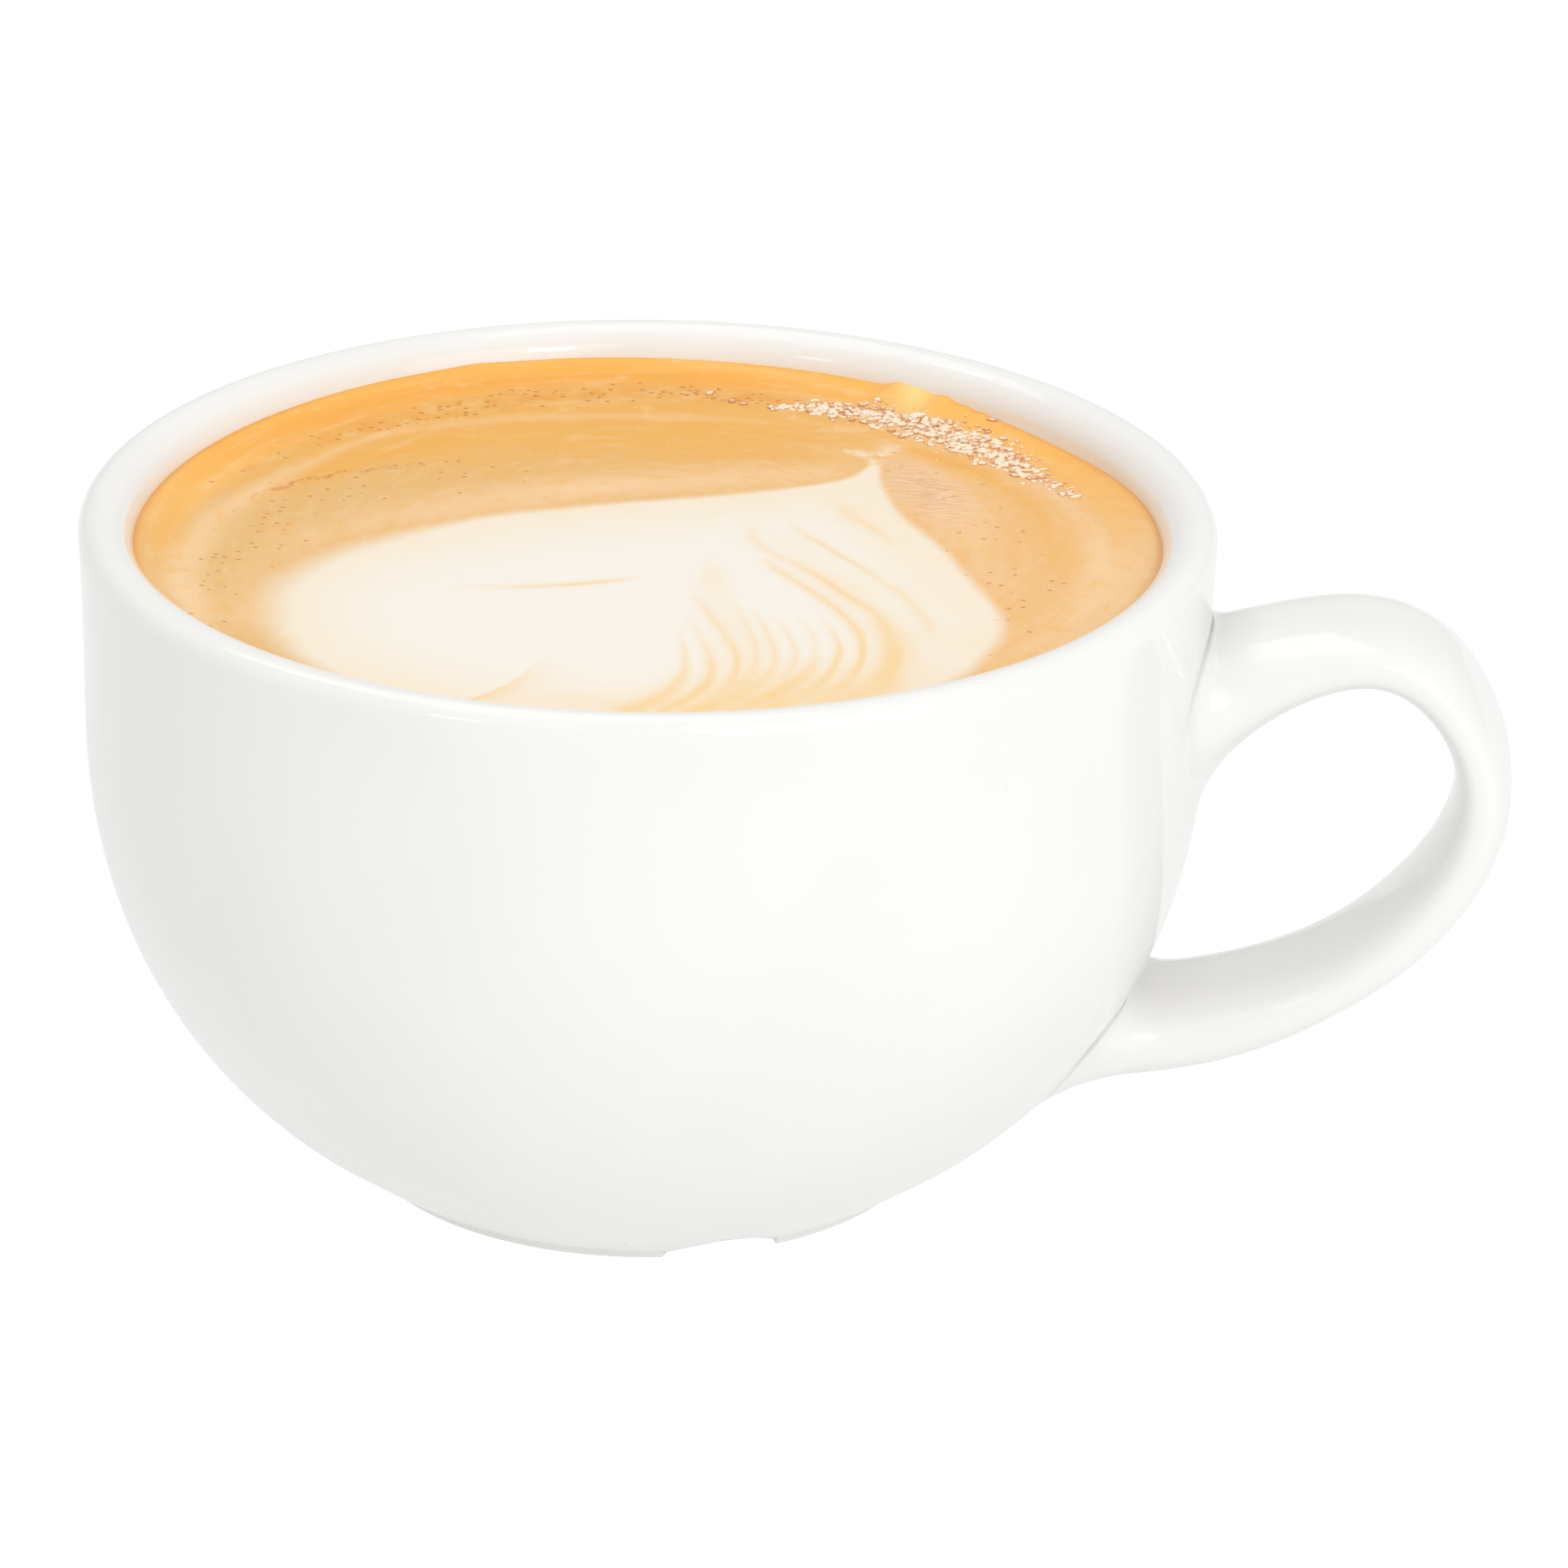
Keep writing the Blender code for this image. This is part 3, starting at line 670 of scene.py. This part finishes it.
# Brown froth of small burst bubbles at the inner side of the amber band
FROTH = (
    ((-43.5, 9.0, 1.0, 0.2), (-38.0, 18.5, 1.6, 0.5), (-31.0, 26.0, 2.0, 0.7), (-22.0, 33.2, 2.2, 0.8),
     (-12.0, 37.8, 2.3, 0.9), (-2.0, 40.0, 2.2, 1.0), (7.0, 39.6, 1.8, 0.9), (12.0, 38.4, 1.2, 0.4)),
)
PIT_FIELDS = (
    ((-38.6, -26.0, 2.6, 0.6), (-38.6, -14.0, 2.6, 0.8), (-36.0, -3.0, 4.0, 0.7), (-34.0, 5.0, 4.0, 0.6),
     (-27.0, 12.0, 4.0, 0.5), (-14.0, 18.0, 4.0, 0.25)),
    ((-38.4, 7.6, 0.45, 1.2), (-36.2, 10.2, 0.45, 1.3), (-33.0, 13.0, 0.4, 1.3), (-29.5, 14.8, 0.4, 1.1),
     (-25.5, 16.6, 0.4, 0.9), (-21.0, 17.2, 0.4, 0.4)),
    ((22.0, 24.0, 3.0, 0.4), (28.0, 12.0, 5.0, 0.5), (33.0, 0.0, 5.0, 0.35), (37.0, -12.0, 4.0, 0.35),
     (36.0, -22.0, 3.0, 0.3)),
)
# A wavering dark line where the crema has split, on the left
SPLIT = (
    ((-39.2, 6.2, 0.3, 0.2), (-37.6, 8.6, 0.34, 0.7), (-35.4, 11.0, 0.36, 0.9), (-32.6, 13.2, 0.34, 0.8),
     (-29.6, 14.8, 0.34, 0.9), (-26.6, 16.2, 0.3, 0.6), (-23.0, 17.2, 0.3, 0.3)),
)
SPLIT_WAVE_HEIGHT = 0.45
SPLIT_WAVE_TURN = 1.9
# How far the darker line along the wall reaches in
CONTACT_WIDTH = 0.45
# Where the bubbles' drift stands, the crema between them is painted brown, as painted shade between the
# bubbles
BED = (
    ((8.0, 37.4, 0.8, 0.3), (12.0, 38.4, 1.3, 0.7), (16.0, 37.8, 1.8, 0.9), (20.0, 36.3, 2.4, 0.9),
     (24.0, 34.8, 2.7, 1.0), (28.0, 32.4, 2.8, 1.0), (31.0, 29.0, 2.6, 1.0), (34.0, 25.2, 1.7, 0.8),
     (37.0, 21.0, 1.4, 0.5), (39.5, 17.8, 1.0, 0.4)),
)
# The patch right of the leaf's tip where the surface lies in fine ripples
RIPPLES = (((22.5, 23.0, 2.0, 0.6), (25.0, 17.0, 3.6, 1.0), (27.5, 11.0, 3.0, 0.6), (29.0, 6.0, 2.0, 0.1)),)
# The pulled tail of milk from the leaf's tip, and the yellow drip of foam that it drew up the wall
TAIL = (
    ((19.8, 18.0, 0.7, 1.0), (19.7, 22.0, 0.6, 1.0), (20.0, 25.0, 0.8, 0.9), (21.0, 28.0, 1.2, 0.45),
     (21.6, 31.5, 1.5, 0.35), (22.0, 35.5, 1.5, 0.1)),
    ((15.6, 26.9, 0.6, 0.3), (17.4, 26.2, 0.8, 0.8), (19.4, 25.2, 0.8, 0.7), (21.4, 25.8, 0.6, 0.4)),
    ((12.5, 31.6, 0.9, 0.1), (15.0, 32.0, 1.1, 0.3), (18.0, 32.5, 1.0, 0.2)),
)
DRIP = (
    ((21.9, 38.0, 1.5, 0.3), (22.3, 41.5, 1.8, 0.7), (22.6, 45.0, 2.0, 0.95), (22.8, 48.5, 2.2, 0.95)),
    ((24.9, 44.0, 0.8, 0.3), (25.6, 47.5, 0.9, 0.8)),
)


def smooth_line(marks, steps=12, closed=False):
    """A curve through a few marks, whose other columns, such as width, run smoothly along it too."""
    marks = np.array(marks, float)
    if closed:
        padded = np.vstack([marks[-1:], marks, marks[:2]])
    else:
        padded = np.vstack([2 * marks[:1] - marks[1:2], marks, 2 * marks[-1:] - marks[-2:-1]])
    line = []
    for a, b, c, d in zip(padded, padded[1:], padded[2:], padded[3:]):
        for t in np.arange(steps) / steps:
            squared = (2 * a - 5 * b + 4 * c - d) * t**2 / 2
            cubed = (3 * b - a - 3 * c + d) * t**3 / 2
            line.append(b + (c - a) * t / 2 + squared + cubed)
    line.append(padded[-2])
    return np.array(line)


def nearest_on(spots, line):
    """Each spot's distance to a line, and the line's other columns at the nearest point."""
    best = np.full(len(spots), 1e9)
    extras = np.zeros((len(spots), line.shape[1] - 2))
    for start, end in zip(line, line[1:]):
        way = end[:2] - start[:2]
        t = np.clip((spots - start[:2]) @ way / (way @ way), 0, 1)
        gap = spots - start[:2] - t[:, None] * way
        distance = np.hypot(gap[:, 0], gap[:, 1])
        closer = distance < best
        best[closer] = distance[closer]
        extras[closer] = start[2:] + t[closer, None] * (end[2:] - start[2:])
    return best, extras


def strokes(spots, lines, widened=1.0):
    """How strongly a set of strokes marks each spot, the strongest one counting."""
    marked = np.zeros(len(spots))
    for marks in lines:
        line = smooth_line(marks)
        reach = 3 * line[:, 2].max() * np.max(widened)
        low, high = line[:, :2].min(axis=0) - reach, line[:, :2].max(axis=0) + reach
        near = np.nonzero(np.all((spots > low) & (spots < high), axis=1))[0]
        distance, extras = nearest_on(spots[near], line)
        width = np.maximum(extras[:, 0] * np.broadcast_to(widened, len(spots))[near], 0.1)
        strength = np.maximum(extras[:, 1], 0.0)
        marked[near] = np.maximum(marked[near], strength * np.exp(-((distance / width) ** 2)))
    return marked


def inside(spots, line):
    """Whether each spot lies inside a closed line."""
    crossings = np.zeros(len(spots), int)
    for (x0, y0), (x1, y1) in zip(line[:, :2], line[1:, :2]):
        spans = (y0 > spots[:, 1]) != (y1 > spots[:, 1])
        if y0 != y1:
            crossings += spans & (spots[:, 0] < x0 + (spots[:, 1] - y0) * (x1 - x0) / (y1 - y0))
    return crossings % 2 == 1


def eased(share):
    return share**2 * (3 - 2 * share)


top_index = np.nonzero(on_top)[0]
spots = placed[top_index, :2] / MM
leaf_line = smooth_line(LEAF_EDGE, closed=True)
edge_distance, edge_softness = nearest_on(spots, leaf_line)
leaf_side = np.where(inside(spots, leaf_line), 1.0, -1.0)
fold_line = smooth_line(FOLD)
fold_x = np.interp(spots[:, 1], fold_line[:, 1], fold_line[:, 0])
fold_depth = np.clip((FOOT_OF_LEAF - spots[:, 1]) / FOLD_LENGTH, 0, 1)
fold_shade = np.exp(-(spots[:, 0] - fold_x) / FOLD_FADE)
fold = np.where(spots[:, 0] > fold_x, fold_shade, 0.0) * fold_depth
out_mm = np.hypot(spots[:, 0], spots[:, 1])
spot_angle = np.arctan2(spots[:, 1], spots[:, 0])
rim_away = np.degrees(np.abs(np.arctan2(np.sin(spot_angle - RIM_MIDDLE), np.cos(spot_angle - RIM_MIDDLE))))
rim_strength = eased(np.clip((RIM_END - rim_away) / (RIM_END - RIM_START), 0, 1))
rim_inside = wall_radius / MM - RIM_WIDTH - RIM_SWELL * rim_strength
rim_share = np.clip((out_mm - rim_inside) / RIM_SOFTNESS + 0.5, 0, 1)
inside_edge = np.where(leaf_side > 0, edge_distance, 0.0)
creamy_edge = CREAM_EDGE_STRENGTH * np.exp(-((inside_edge / CREAM_EDGE_WIDTH) ** 2))
near_lip = np.clip((FOOT_OF_LEAF - spots[:, 1]) / WIDENING_LENGTH, 0, 1)
threads = strokes(spots, THREADS, THREAD_WIDTH + THREAD_WIDENING * near_lip)
thread_shade = SHADE_STRENGTH * strokes(spots, THREADS, SHADE_WIDTH)
wavering = spots + SPLIT_WAVE_HEIGHT * np.sin(SPLIT_WAVE_TURN * spots[:, ::-1] + (0.0, 1.0))
contact = np.exp(-(((wall_radius / MM - out_mm) / CONTACT_WIDTH) ** 2))
masks = {
    "leaf": leaf_side * edge_distance / np.maximum(edge_softness[:, 0], 0.3),
    "threads": np.maximum(np.maximum(threads, FOLD_STRENGTH * fold), thread_shade),
    "cream": np.maximum(strokes(spots, CREAM), creamy_edge),
    "pale": strokes(spots, PALE_STREAKS),
    "golden": strokes(spots, GOLDEN_BANDS),
    "amber": strokes(spots, AMBER_BAND),
    "peach": strokes(spots, PEACH_PATCHES),
    "rim": eased(rim_share) * rim_strength,
    "froth": strokes(spots, FROTH),
    "pits": strokes(spots, PIT_FIELDS),
    "split": strokes(wavering, SPLIT),
    "contact": contact * np.abs(np.cos(spot_angle)) ** 2,
    "bed": strokes(spots, BED),
    "ripples": strokes(spots, RIPPLES),
    "tail": strokes(spots, TAIL),
    "drip": strokes(spots, DRIP),
}
for name, values in masks.items():
    column = np.zeros(count, np.float32)
    column[top_index] = values
    attribute = foam.data.attributes.new(name, "FLOAT", "POINT")
    attribute.data.foreach_set("value", column)

# Where each point lies along and across the way that the pour turned, with the seam at the front, under the
# milk
flow = np.zeros((count, 3), np.float32)
flow[top_index, 0] = np.mod(spot_angle + math.pi / 2, 2 * math.pi) * wall_radius
flow[top_index, 1] = out_mm * MM
attribute = foam.data.attributes.new("flow", "FLOAT_VECTOR", "POINT")
attribute.data.foreach_set("vector", flow.ravel())

# The crema lies in low ripples, and roughly where it is frothy. The milk is smooth.
RIPPLE_LENGTH = 1.1 * MM
RIPPLE_HEIGHT = 0.02 * MM
ROUGH_LENGTH = 0.7 * MM
ROUGH_HEIGHT = 0.09 * MM
in_crema = np.clip(0.5 - masks["leaf"] / 2, 0, 1)
rough = np.maximum(np.maximum(masks["froth"], masks["bed"]), masks["ripples"])
for index, crema_share, rough_share in zip(top_index, in_crema, rough):
    if crema_share > 0:
        x, y = placed[index, :2]
        low = random_height.noise(Vector((x, 1.6 * y, 0.0)) / RIPPLE_LENGTH)
        fine = random_height.noise(Vector((x, 2.0 * y, 0.01)) / ROUGH_LENGTH)
        placed[index, 2] += crema_share * (RIPPLE_HEIGHT * low + ROUGH_HEIGHT * rough_share * fine)

placed[:, 0] += AXIS_X
foam.data.vertices.foreach_set("co", placed.astype(np.float32).ravel())
foam.data.update()
select_only(foam)
bpy.ops.object.mode_set(mode="EDIT")
bpy.ops.mesh.select_all(action="SELECT")
bpy.ops.mesh.normals_make_consistent(inside=False)
bpy.ops.object.mode_set(mode="OBJECT")
bpy.ops.object.shade_smooth_by_angle(angle=math.radians(50))


# The foam's finish: smooth satin milk, and a moister crema full of bubbles too fine to stand alone, which
# give it a grain, ripples and dark burst pits. Its colours run from milk white through peach and tan to
# burnt orange.
def tint(red, green, blue):
    """A colour given on the usual 0 to 255 scale, as the light that it stands for."""
    channels = []
    for value in (red / 255, green / 255, blue / 255):
        channels.append(value / 12.92 if value <= 0.04045 else ((value + 0.055) / 1.055) ** 2.4)
    return (*channels, 1.0)


MILK_WHITE = tint(242, 237, 227)
MILK_CREAM = tint(244, 226, 197)
THREAD_ORANGE = tint(245, 210, 152)
CREMA_TAN = tint(229, 183, 114)
# A brighter tan painted towards the handle's side, as painted light
PAINTED_LIGHT_TAN = tint(238, 188, 123)
CREMA_GOLD = tint(238, 174, 70)
CREMA_PALE = tint(244, 207, 158)
CREMA_PEACH = tint(243, 202, 150)
RIM_ORANGE = tint(249, 187, 92)
AMBER = tint(243, 167, 60)
FROTH_BROWN = tint(230, 152, 58)
PIT_BROWN = tint(196, 108, 40)
DRIP_YELLOW = tint(253, 220, 146)
BED_CREAM = tint(246, 214, 172)
# The brown of the ripples, and the painted shade between the drift's bubbles
SHADE_AND_RIPPLE_BROWN = tint(214, 142, 76)
RIPPLE_PINK = tint(248, 212, 174)
CONTACT_ORANGE = tint(232, 156, 84)

# How often the noise goes up and down in each metre: along and across the way that the pour turned, and from
# side to side and front to back
STREAK_STRETCH = (75.0, 620.0, 1.0)
RIPPLE_STRETCH = (420.0, 2300.0, 1.0)
# Burst bubbles: cells in each metre, and the pit's size as a share of a cell's
PIT_STRETCH = (0.75, 1.25, 1.0)
PIT_SCALE, PIT_SIZE = 1150.0, 0.27
FROTH_SCALE, FROTH_SIZE = 1500.0, 0.4

foam_material, tree, shader = new_material("milk_foam_and_crema")
where = add(tree, "TexCoord").outputs["Object"]


def mask(name, share=1.0):
    """How strongly the surface holds a mark, times a share, which may be another node's."""
    return maths(tree, "MULTIPLY", add(tree, "Attribute", attribute_name=name).outputs["Fac"], share)


def stretched(places, scales):
    return add(tree, "VectorMath", {0: places, 1: scales}, operation="MULTIPLY").outputs[0]


def pits_in(scale, chance, size):
    """Small round marks in some of the cells that the surface is divided into, as often as chance says."""
    cells = add(tree, "TexVoronoi", {"Vector": stretched(where, PIT_STRETCH), "Scale": scale})
    draw = add(tree, "SeparateXYZ", {0: cells.outputs["Color"]}).outputs[0]
    present = ramped(tree, maths(tree, "SUBTRACT", maths(tree, "ADD", draw, chance), 1.0), 0.0, 0.05)
    round_spot = ramped(tree, cells.outputs["Distance"], 0.5 * size, size, 1.0, 0.0)
    return maths(tree, "MULTIPLY", present, round_spot)


flow = add(tree, "Attribute", attribute_name="flow").outputs["Vector"]
streaks = noise(tree, stretched(flow, STREAK_STRETCH), 1.0, 4.0, 0.62)
fine_ripples = noise(tree, stretched(where, RIPPLE_STRETCH), 1.0, 2.0, 0.5)
ripples = mask("ripples", ramped(tree, fine_ripples, 0.35, 0.65))
wisps = noise(tree, where, 420.0, 3.0, 0.6)
grain = noise(tree, where, 1500.0, 2.0, 0.6)
clouds = noise(tree, where, 160.0, 3.0, 0.6)
leaf = maths(tree, "ADD", mask("leaf"), maths(tree, "MULTIPLY", maths(tree, "SUBTRACT", wisps, 0.5), 0.7))
leaf = ramped(tree, leaf, -1.0, 1.0)
milk = blended(tree, mask("cream", ramped(tree, clouds, 0.3, 0.7, 0.8, 1.1)), MILK_WHITE, MILK_CREAM)
milk = blended(tree, mask("threads", ramped(tree, wisps, 0.2, 0.8, 0.95, 1.3)), milk, THREAD_ORANGE)
froth_clumps = ramped(tree, clouds, 0.42, 0.58, 0.25, 0.75)
froth_pit = pits_in(FROTH_SCALE, mask("froth", froth_clumps), FROTH_SIZE)
pit = maths(tree, "MAXIMUM", pits_in(PIT_SCALE, mask("pits", 0.75), PIT_SIZE), froth_pit)
split = mask("split", ramped(tree, grain, 0.4, 0.56))
across = add(tree, "SeparateXYZ", {0: where}).outputs[0]
# The crema is painted a brighter tan towards the handle's side, as painted light
painted_light_share = ramped(tree, across, AXIS_X - 5 * MM, AXIS_X + 25 * MM)
crema = blended(tree, painted_light_share, CREMA_TAN, PAINTED_LIGHT_TAN)
# What is laid over the crema, from the lowest up: (share, colour)
LAYERS = (
    (mask("golden"), CREMA_GOLD),
    (mask("peach"), CREMA_PEACH),
    (mask("pale"), CREMA_PALE),
    (mask("rim"), RIM_ORANGE),
    (mask("amber", ramped(tree, streaks, 0.3, 0.7, 0.75, 1.0)), AMBER),
    (mask("froth", ramped(tree, wisps, 0.42, 0.62, 0.0, 0.7)), FROTH_BROWN),
    (mask("bed", 0.35), BED_CREAM),
    # Painted shade between the drift's bubbles
    (mask("bed", ramped(tree, grain, 0.4, 0.58, 0.0, 0.85)), SHADE_AND_RIPPLE_BROWN),
    (ramped(tree, streaks, 0.5, 0.72, 0.0, 0.32), CREMA_GOLD),
    (ramped(tree, streaks, 0.5, 0.3, 0.0, 0.26), CREMA_PALE),
    (ramped(tree, wisps, 0.5, 0.75, 0.0, 0.3), CREMA_GOLD),
    (ramped(tree, fine_ripples, 0.5, 0.75, 0.0, 0.22), CREMA_GOLD),
    (ramped(tree, wisps, 0.45, 0.25, 0.0, 0.3), CREMA_PALE),
    (maths(tree, "MULTIPLY", maths(tree, "MAXIMUM", pit, split), 0.7), PIT_BROWN),
    (mask("ripples", 0.8), RIPPLE_PINK),
    (maths(tree, "MULTIPLY", ripples, 0.45), SHADE_AND_RIPPLE_BROWN),
    (mask("contact", 0.6), CONTACT_ORANGE),
    (mask("tail", ramped(tree, wisps, 0.42, 0.58)), MILK_CREAM),
    (mask("drip"), DRIP_YELLOW),
)
for share, laid_over in LAYERS:
    crema = blended(tree, share, crema, laid_over)
colour = blended(tree, leaf, crema, milk)
tree.links.new(colour, shader.inputs["Base Color"])
tree.links.new(ramped(tree, leaf, 0.0, 1.0, 0.32, 0.42), shader.inputs["Roughness"])
relief = maths(tree, "MULTIPLY", grain, ramped(tree, leaf, 0.0, 1.0, 0.3, 0.04))
relief = maths(tree, "SUBTRACT", relief, maths(tree, "MULTIPLY", pit, 0.5))
relief = maths(tree, "ADD", relief, maths(tree, "MULTIPLY", ripples, 0.8))
skin = add(tree, "Bump", {"Strength": 1.0, "Distance": 0.00012, "Height": relief})
tree.links.new(skin.outputs[0], shader.inputs["Normal"])
shader.inputs["IOR"].default_value = 1.36
shader.inputs["Specular IOR Level"].default_value = 0.25
foam.data.materials.clear()
foam.data.materials.append(foam_material)
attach(foam, "root")
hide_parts("cappuccino")


# A drift of small bubbles stands on the crema behind the leaf's tip, with a few strays. Each is a thin dome
# of foam, painted pale on top as a painted highlight and brown where it sits in the crema as painted shade.
# They are modelled once, as a low dome, and copied.
DRIFT = (
    # (x, y, spread to each side in mm, bubbles in each mm of length)
    (8.5, 37.2, 0.5, 6.0), (11.5, 38.3, 1.6, 20.0), (15.0, 38.0, 2.4, 34.0), (18.0, 36.8, 2.9, 42.0),
    (21.0, 35.8, 2.9, 38.0), (24.0, 34.6, 3.3, 48.0), (27.5, 32.2, 3.5, 50.0), (30.5, 29.0, 3.3, 42.0),
    (33.2, 25.6, 2.5, 24.0), (36.4, 21.4, 1.6, 8.0), (39.0, 18.4, 1.1, 5.0), (40.2, 16.6, 0.5, 2.0),
)
STRAYS = ((29.2, 38.2), (30.3, 37.6), (31.6, 36.4), (27.6, 39.0), (2.0, 40.6), (4.4, 38.6), (5.6, 38.0))
BUBBLE_RADIUS = (0.11 * MM, 0.52 * MM)
# The least and most that each bubble's paleness and length are drawn from
BUBBLE_PALENESS = (-0.5, 0.35)
BUBBLE_STRETCH = (0.7, 1.5)
BUBBLE_HEIGHT = 0.5
DOME_CUT = -0.2
BUBBLE_SINK = 0.03 * MM
BUBBLE_SEED = 7

bpy.ops.object.select_all(action="DESELECT")
bpy.ops.mesh.primitive_uv_sphere_add(segments=10, ring_count=8, radius=1.0, location=(0.0, 0.0, 0.0))
dome = bpy.context.object
bpy.ops.object.mode_set(mode="EDIT")
bpy.ops.mesh.select_all(action="SELECT")
bpy.ops.mesh.bisect(plane_co=(0.0, 0.0, DOME_CUT), plane_no=(0.0, 0.0, 1.0), clear_inner=True, use_fill=True)
bpy.ops.object.mode_set(mode="OBJECT")
dome_points = np.array([vertex.co for vertex in dome.data.vertices])
dome_faces = [list(face.vertices) for face in dome.data.polygons]
bpy.data.objects.remove(dome, do_unlink=True)

draw = np.random.default_rng(BUBBLE_SEED)
drift_line = smooth_line(DRIFT)
seats = []
for start, end in zip(drift_line, drift_line[1:]):
    way = end[:2] - start[:2]
    for _ in range(draw.poisson(start[3] * np.hypot(*way))):
        along = start[:2] + way * draw.random()
        side = np.array([-way[1], way[0]]) / np.hypot(*way)
        seats.append(along + side * draw.normal(0.0, 0.5) * start[2])
seats += [np.array(stray) for stray in STRAYS]
bubble_points, bubble_faces, bubble_painted_light = [], [], []
small, large = BUBBLE_RADIUS
for seat in seats:
    size = small + (large - small) * draw.random() ** 2.0
    paleness = draw.uniform(*BUBBLE_PALENESS)
    turn_here = draw.uniform(0, 2 * math.pi)
    stretch = draw.uniform(*BUBBLE_STRETCH)
    shape = dome_points * (size * stretch, size / stretch, size * BUBBLE_HEIGHT)
    x = shape[:, 0] * math.cos(turn_here) - shape[:, 1] * math.sin(turn_here)
    y = shape[:, 0] * math.sin(turn_here) + shape[:, 1] * math.cos(turn_here)
    spot = seat * MM
    height = float(foam_height(np.hypot(*spot), np.arctan2(spot[1], spot[0])))
    first = len(bubble_points)
    for px, py, pz, level in zip(x, y, shape[:, 2], dome_points[:, 2]):
        bubble_points.append((spot[0] + px + AXIS_X, spot[1] + py, height + pz - BUBBLE_SINK))
        bubble_painted_light.append(level + paleness)
    bubble_faces += [[index + first for index in face] for face in dome_faces]
bubble_mesh = bpy.data.meshes.new("froth_bubbles")
bubble_mesh.from_pydata(bubble_points, [], bubble_faces)
bubble_mesh.attributes.new("painted_light_level", "FLOAT", "POINT").data.foreach_set("value", bubble_painted_light)
bubbles = bpy.data.objects.new("froth_bubbles", bubble_mesh)
bpy.context.scene.collection.objects.link(bubbles)
select_only(bubbles)
bpy.ops.object.shade_smooth_by_angle(angle=math.radians(60))

# The bubbles' painted highlight on their tops, and painted shade round their bases
BUBBLE_HIGHLIGHT_CREAM = tint(248, 228, 200)
BUBBLE_SHADE_BROWN = tint(206, 138, 82)
bubble_material, tree, shader = new_material("bubble_film")
where = add(tree, "TexCoord").outputs["Object"]
# Higher on each dome the film is painted paler, as a painted highlight, and lower down browner, as painted
# shade
painted_light_level = maths(tree, "ADD", mask("painted_light_level"), maths(tree, "MULTIPLY", noise(tree, where, 3000.0, 2.0), 0.5))
colour = blended(tree, ramped(tree, painted_light_level, 0.45, 1.0), BUBBLE_SHADE_BROWN, BUBBLE_HIGHLIGHT_CREAM)
tree.links.new(colour, shader.inputs["Base Color"])
tree.links.new(ramped(tree, painted_light_level, 0.2, 0.8, 0.2, 0.08), shader.inputs["Roughness"])
shader.inputs["IOR"].default_value = 1.36
bubble_mesh.materials.append(bubble_material)
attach(bubbles, "root")


# The studio is white all round: a pale floor that runs out of sight and glows like a light table, so that it
# lights the cup's underside, and even light from every side. Five soft lights stand round the cup.
FLOOR_SIZE = 6.0
FLOOR_GREY = (0.38, 0.38, 0.38, 1.0)
FLOOR_LOOK = 0.92
FLOOR_LIGHT = 0.575
WORLD_LIGHT = 0.715
WHITE = (1.0, 1.0, 1.0, 1.0)
bpy.ops.object.select_all(action="DESELECT")
bpy.ops.mesh.primitive_plane_add(size=FLOOR_SIZE, location=(0.0, 0.0, 0.0))
floor = bpy.context.object
floor.name = "floor"
floor_material, tree, shader = new_material("pale_floor")
shader.inputs["Base Color"].default_value = FLOOR_GREY
shader.inputs["Roughness"].default_value = 0.9
shader.inputs["Specular IOR Level"].default_value = 0.0
shader.inputs["Emission Color"].default_value = WHITE
# The floor looks as bright as a cleared page, and lights the cup's underside as a white table would
seen = add(tree, "LightPath").outputs["Is Camera Ray"]
glow = add(tree, "MapRange", {"Value": seen, "To Min": FLOOR_LIGHT, "To Max": FLOOR_LOOK})
tree.links.new(glow.outputs[0], shader.inputs["Emission Strength"])
floor.data.materials.append(floor_material)

world = bpy.data.worlds.new("studio")
world.use_nodes = True
world.node_tree.nodes["Background"].inputs["Color"].default_value = WHITE
world.node_tree.nodes["Background"].inputs["Strength"].default_value = WORLD_LIGHT
bpy.context.scene.world = world


def soft_light(name, place, aim, width, height, power):
    data = bpy.data.lights.new(name, "AREA")
    data.shape = "RECTANGLE"
    data.size = width
    data.size_y = height
    data.energy = power
    light = bpy.data.objects.new(name, data)
    light.location = place
    light.rotation_mode = "QUATERNION"
    light.rotation_quaternion = (Vector(aim) - Vector(place)).to_track_quat("-Z", "Y")
    bpy.context.scene.collection.objects.link(light)


CUP_MIDDLE = Vector((AXIS_X, 0.0, 45.0 * MM))
# (name, direction from the cup, distance, width, height, power)
LIGHTS = (
    ("key", (0.41, -0.70, 0.58), 1.8, 0.28, 0.28, 6.2),
    ("key_bounce", (0.58, -0.66, 0.48), 1.8, 1.4, 1.4, 6.2),
    ("front_left", (-0.48, -0.70, 0.53), 1.8, 0.25, 0.25, 0.5),
    ("overhead", (-0.22, 0.34, 0.91), 2.0, 1.4, 1.4, 6.0),
    ("back_left", (-0.41, 0.36, 0.84), 1.6, 0.17, 0.17, 1.4),
)
for name, direction, distance, width, height, power in LIGHTS:
    place = CUP_MIDDLE + Vector(direction).normalized() * distance
    soft_light(name, place, CUP_MIDDLE, width, height, power)

view = bpy.context.scene.view_settings
view.view_transform = "Standard"
view.look = "None"
view.exposure = 0.0
view.gamma = 1.0
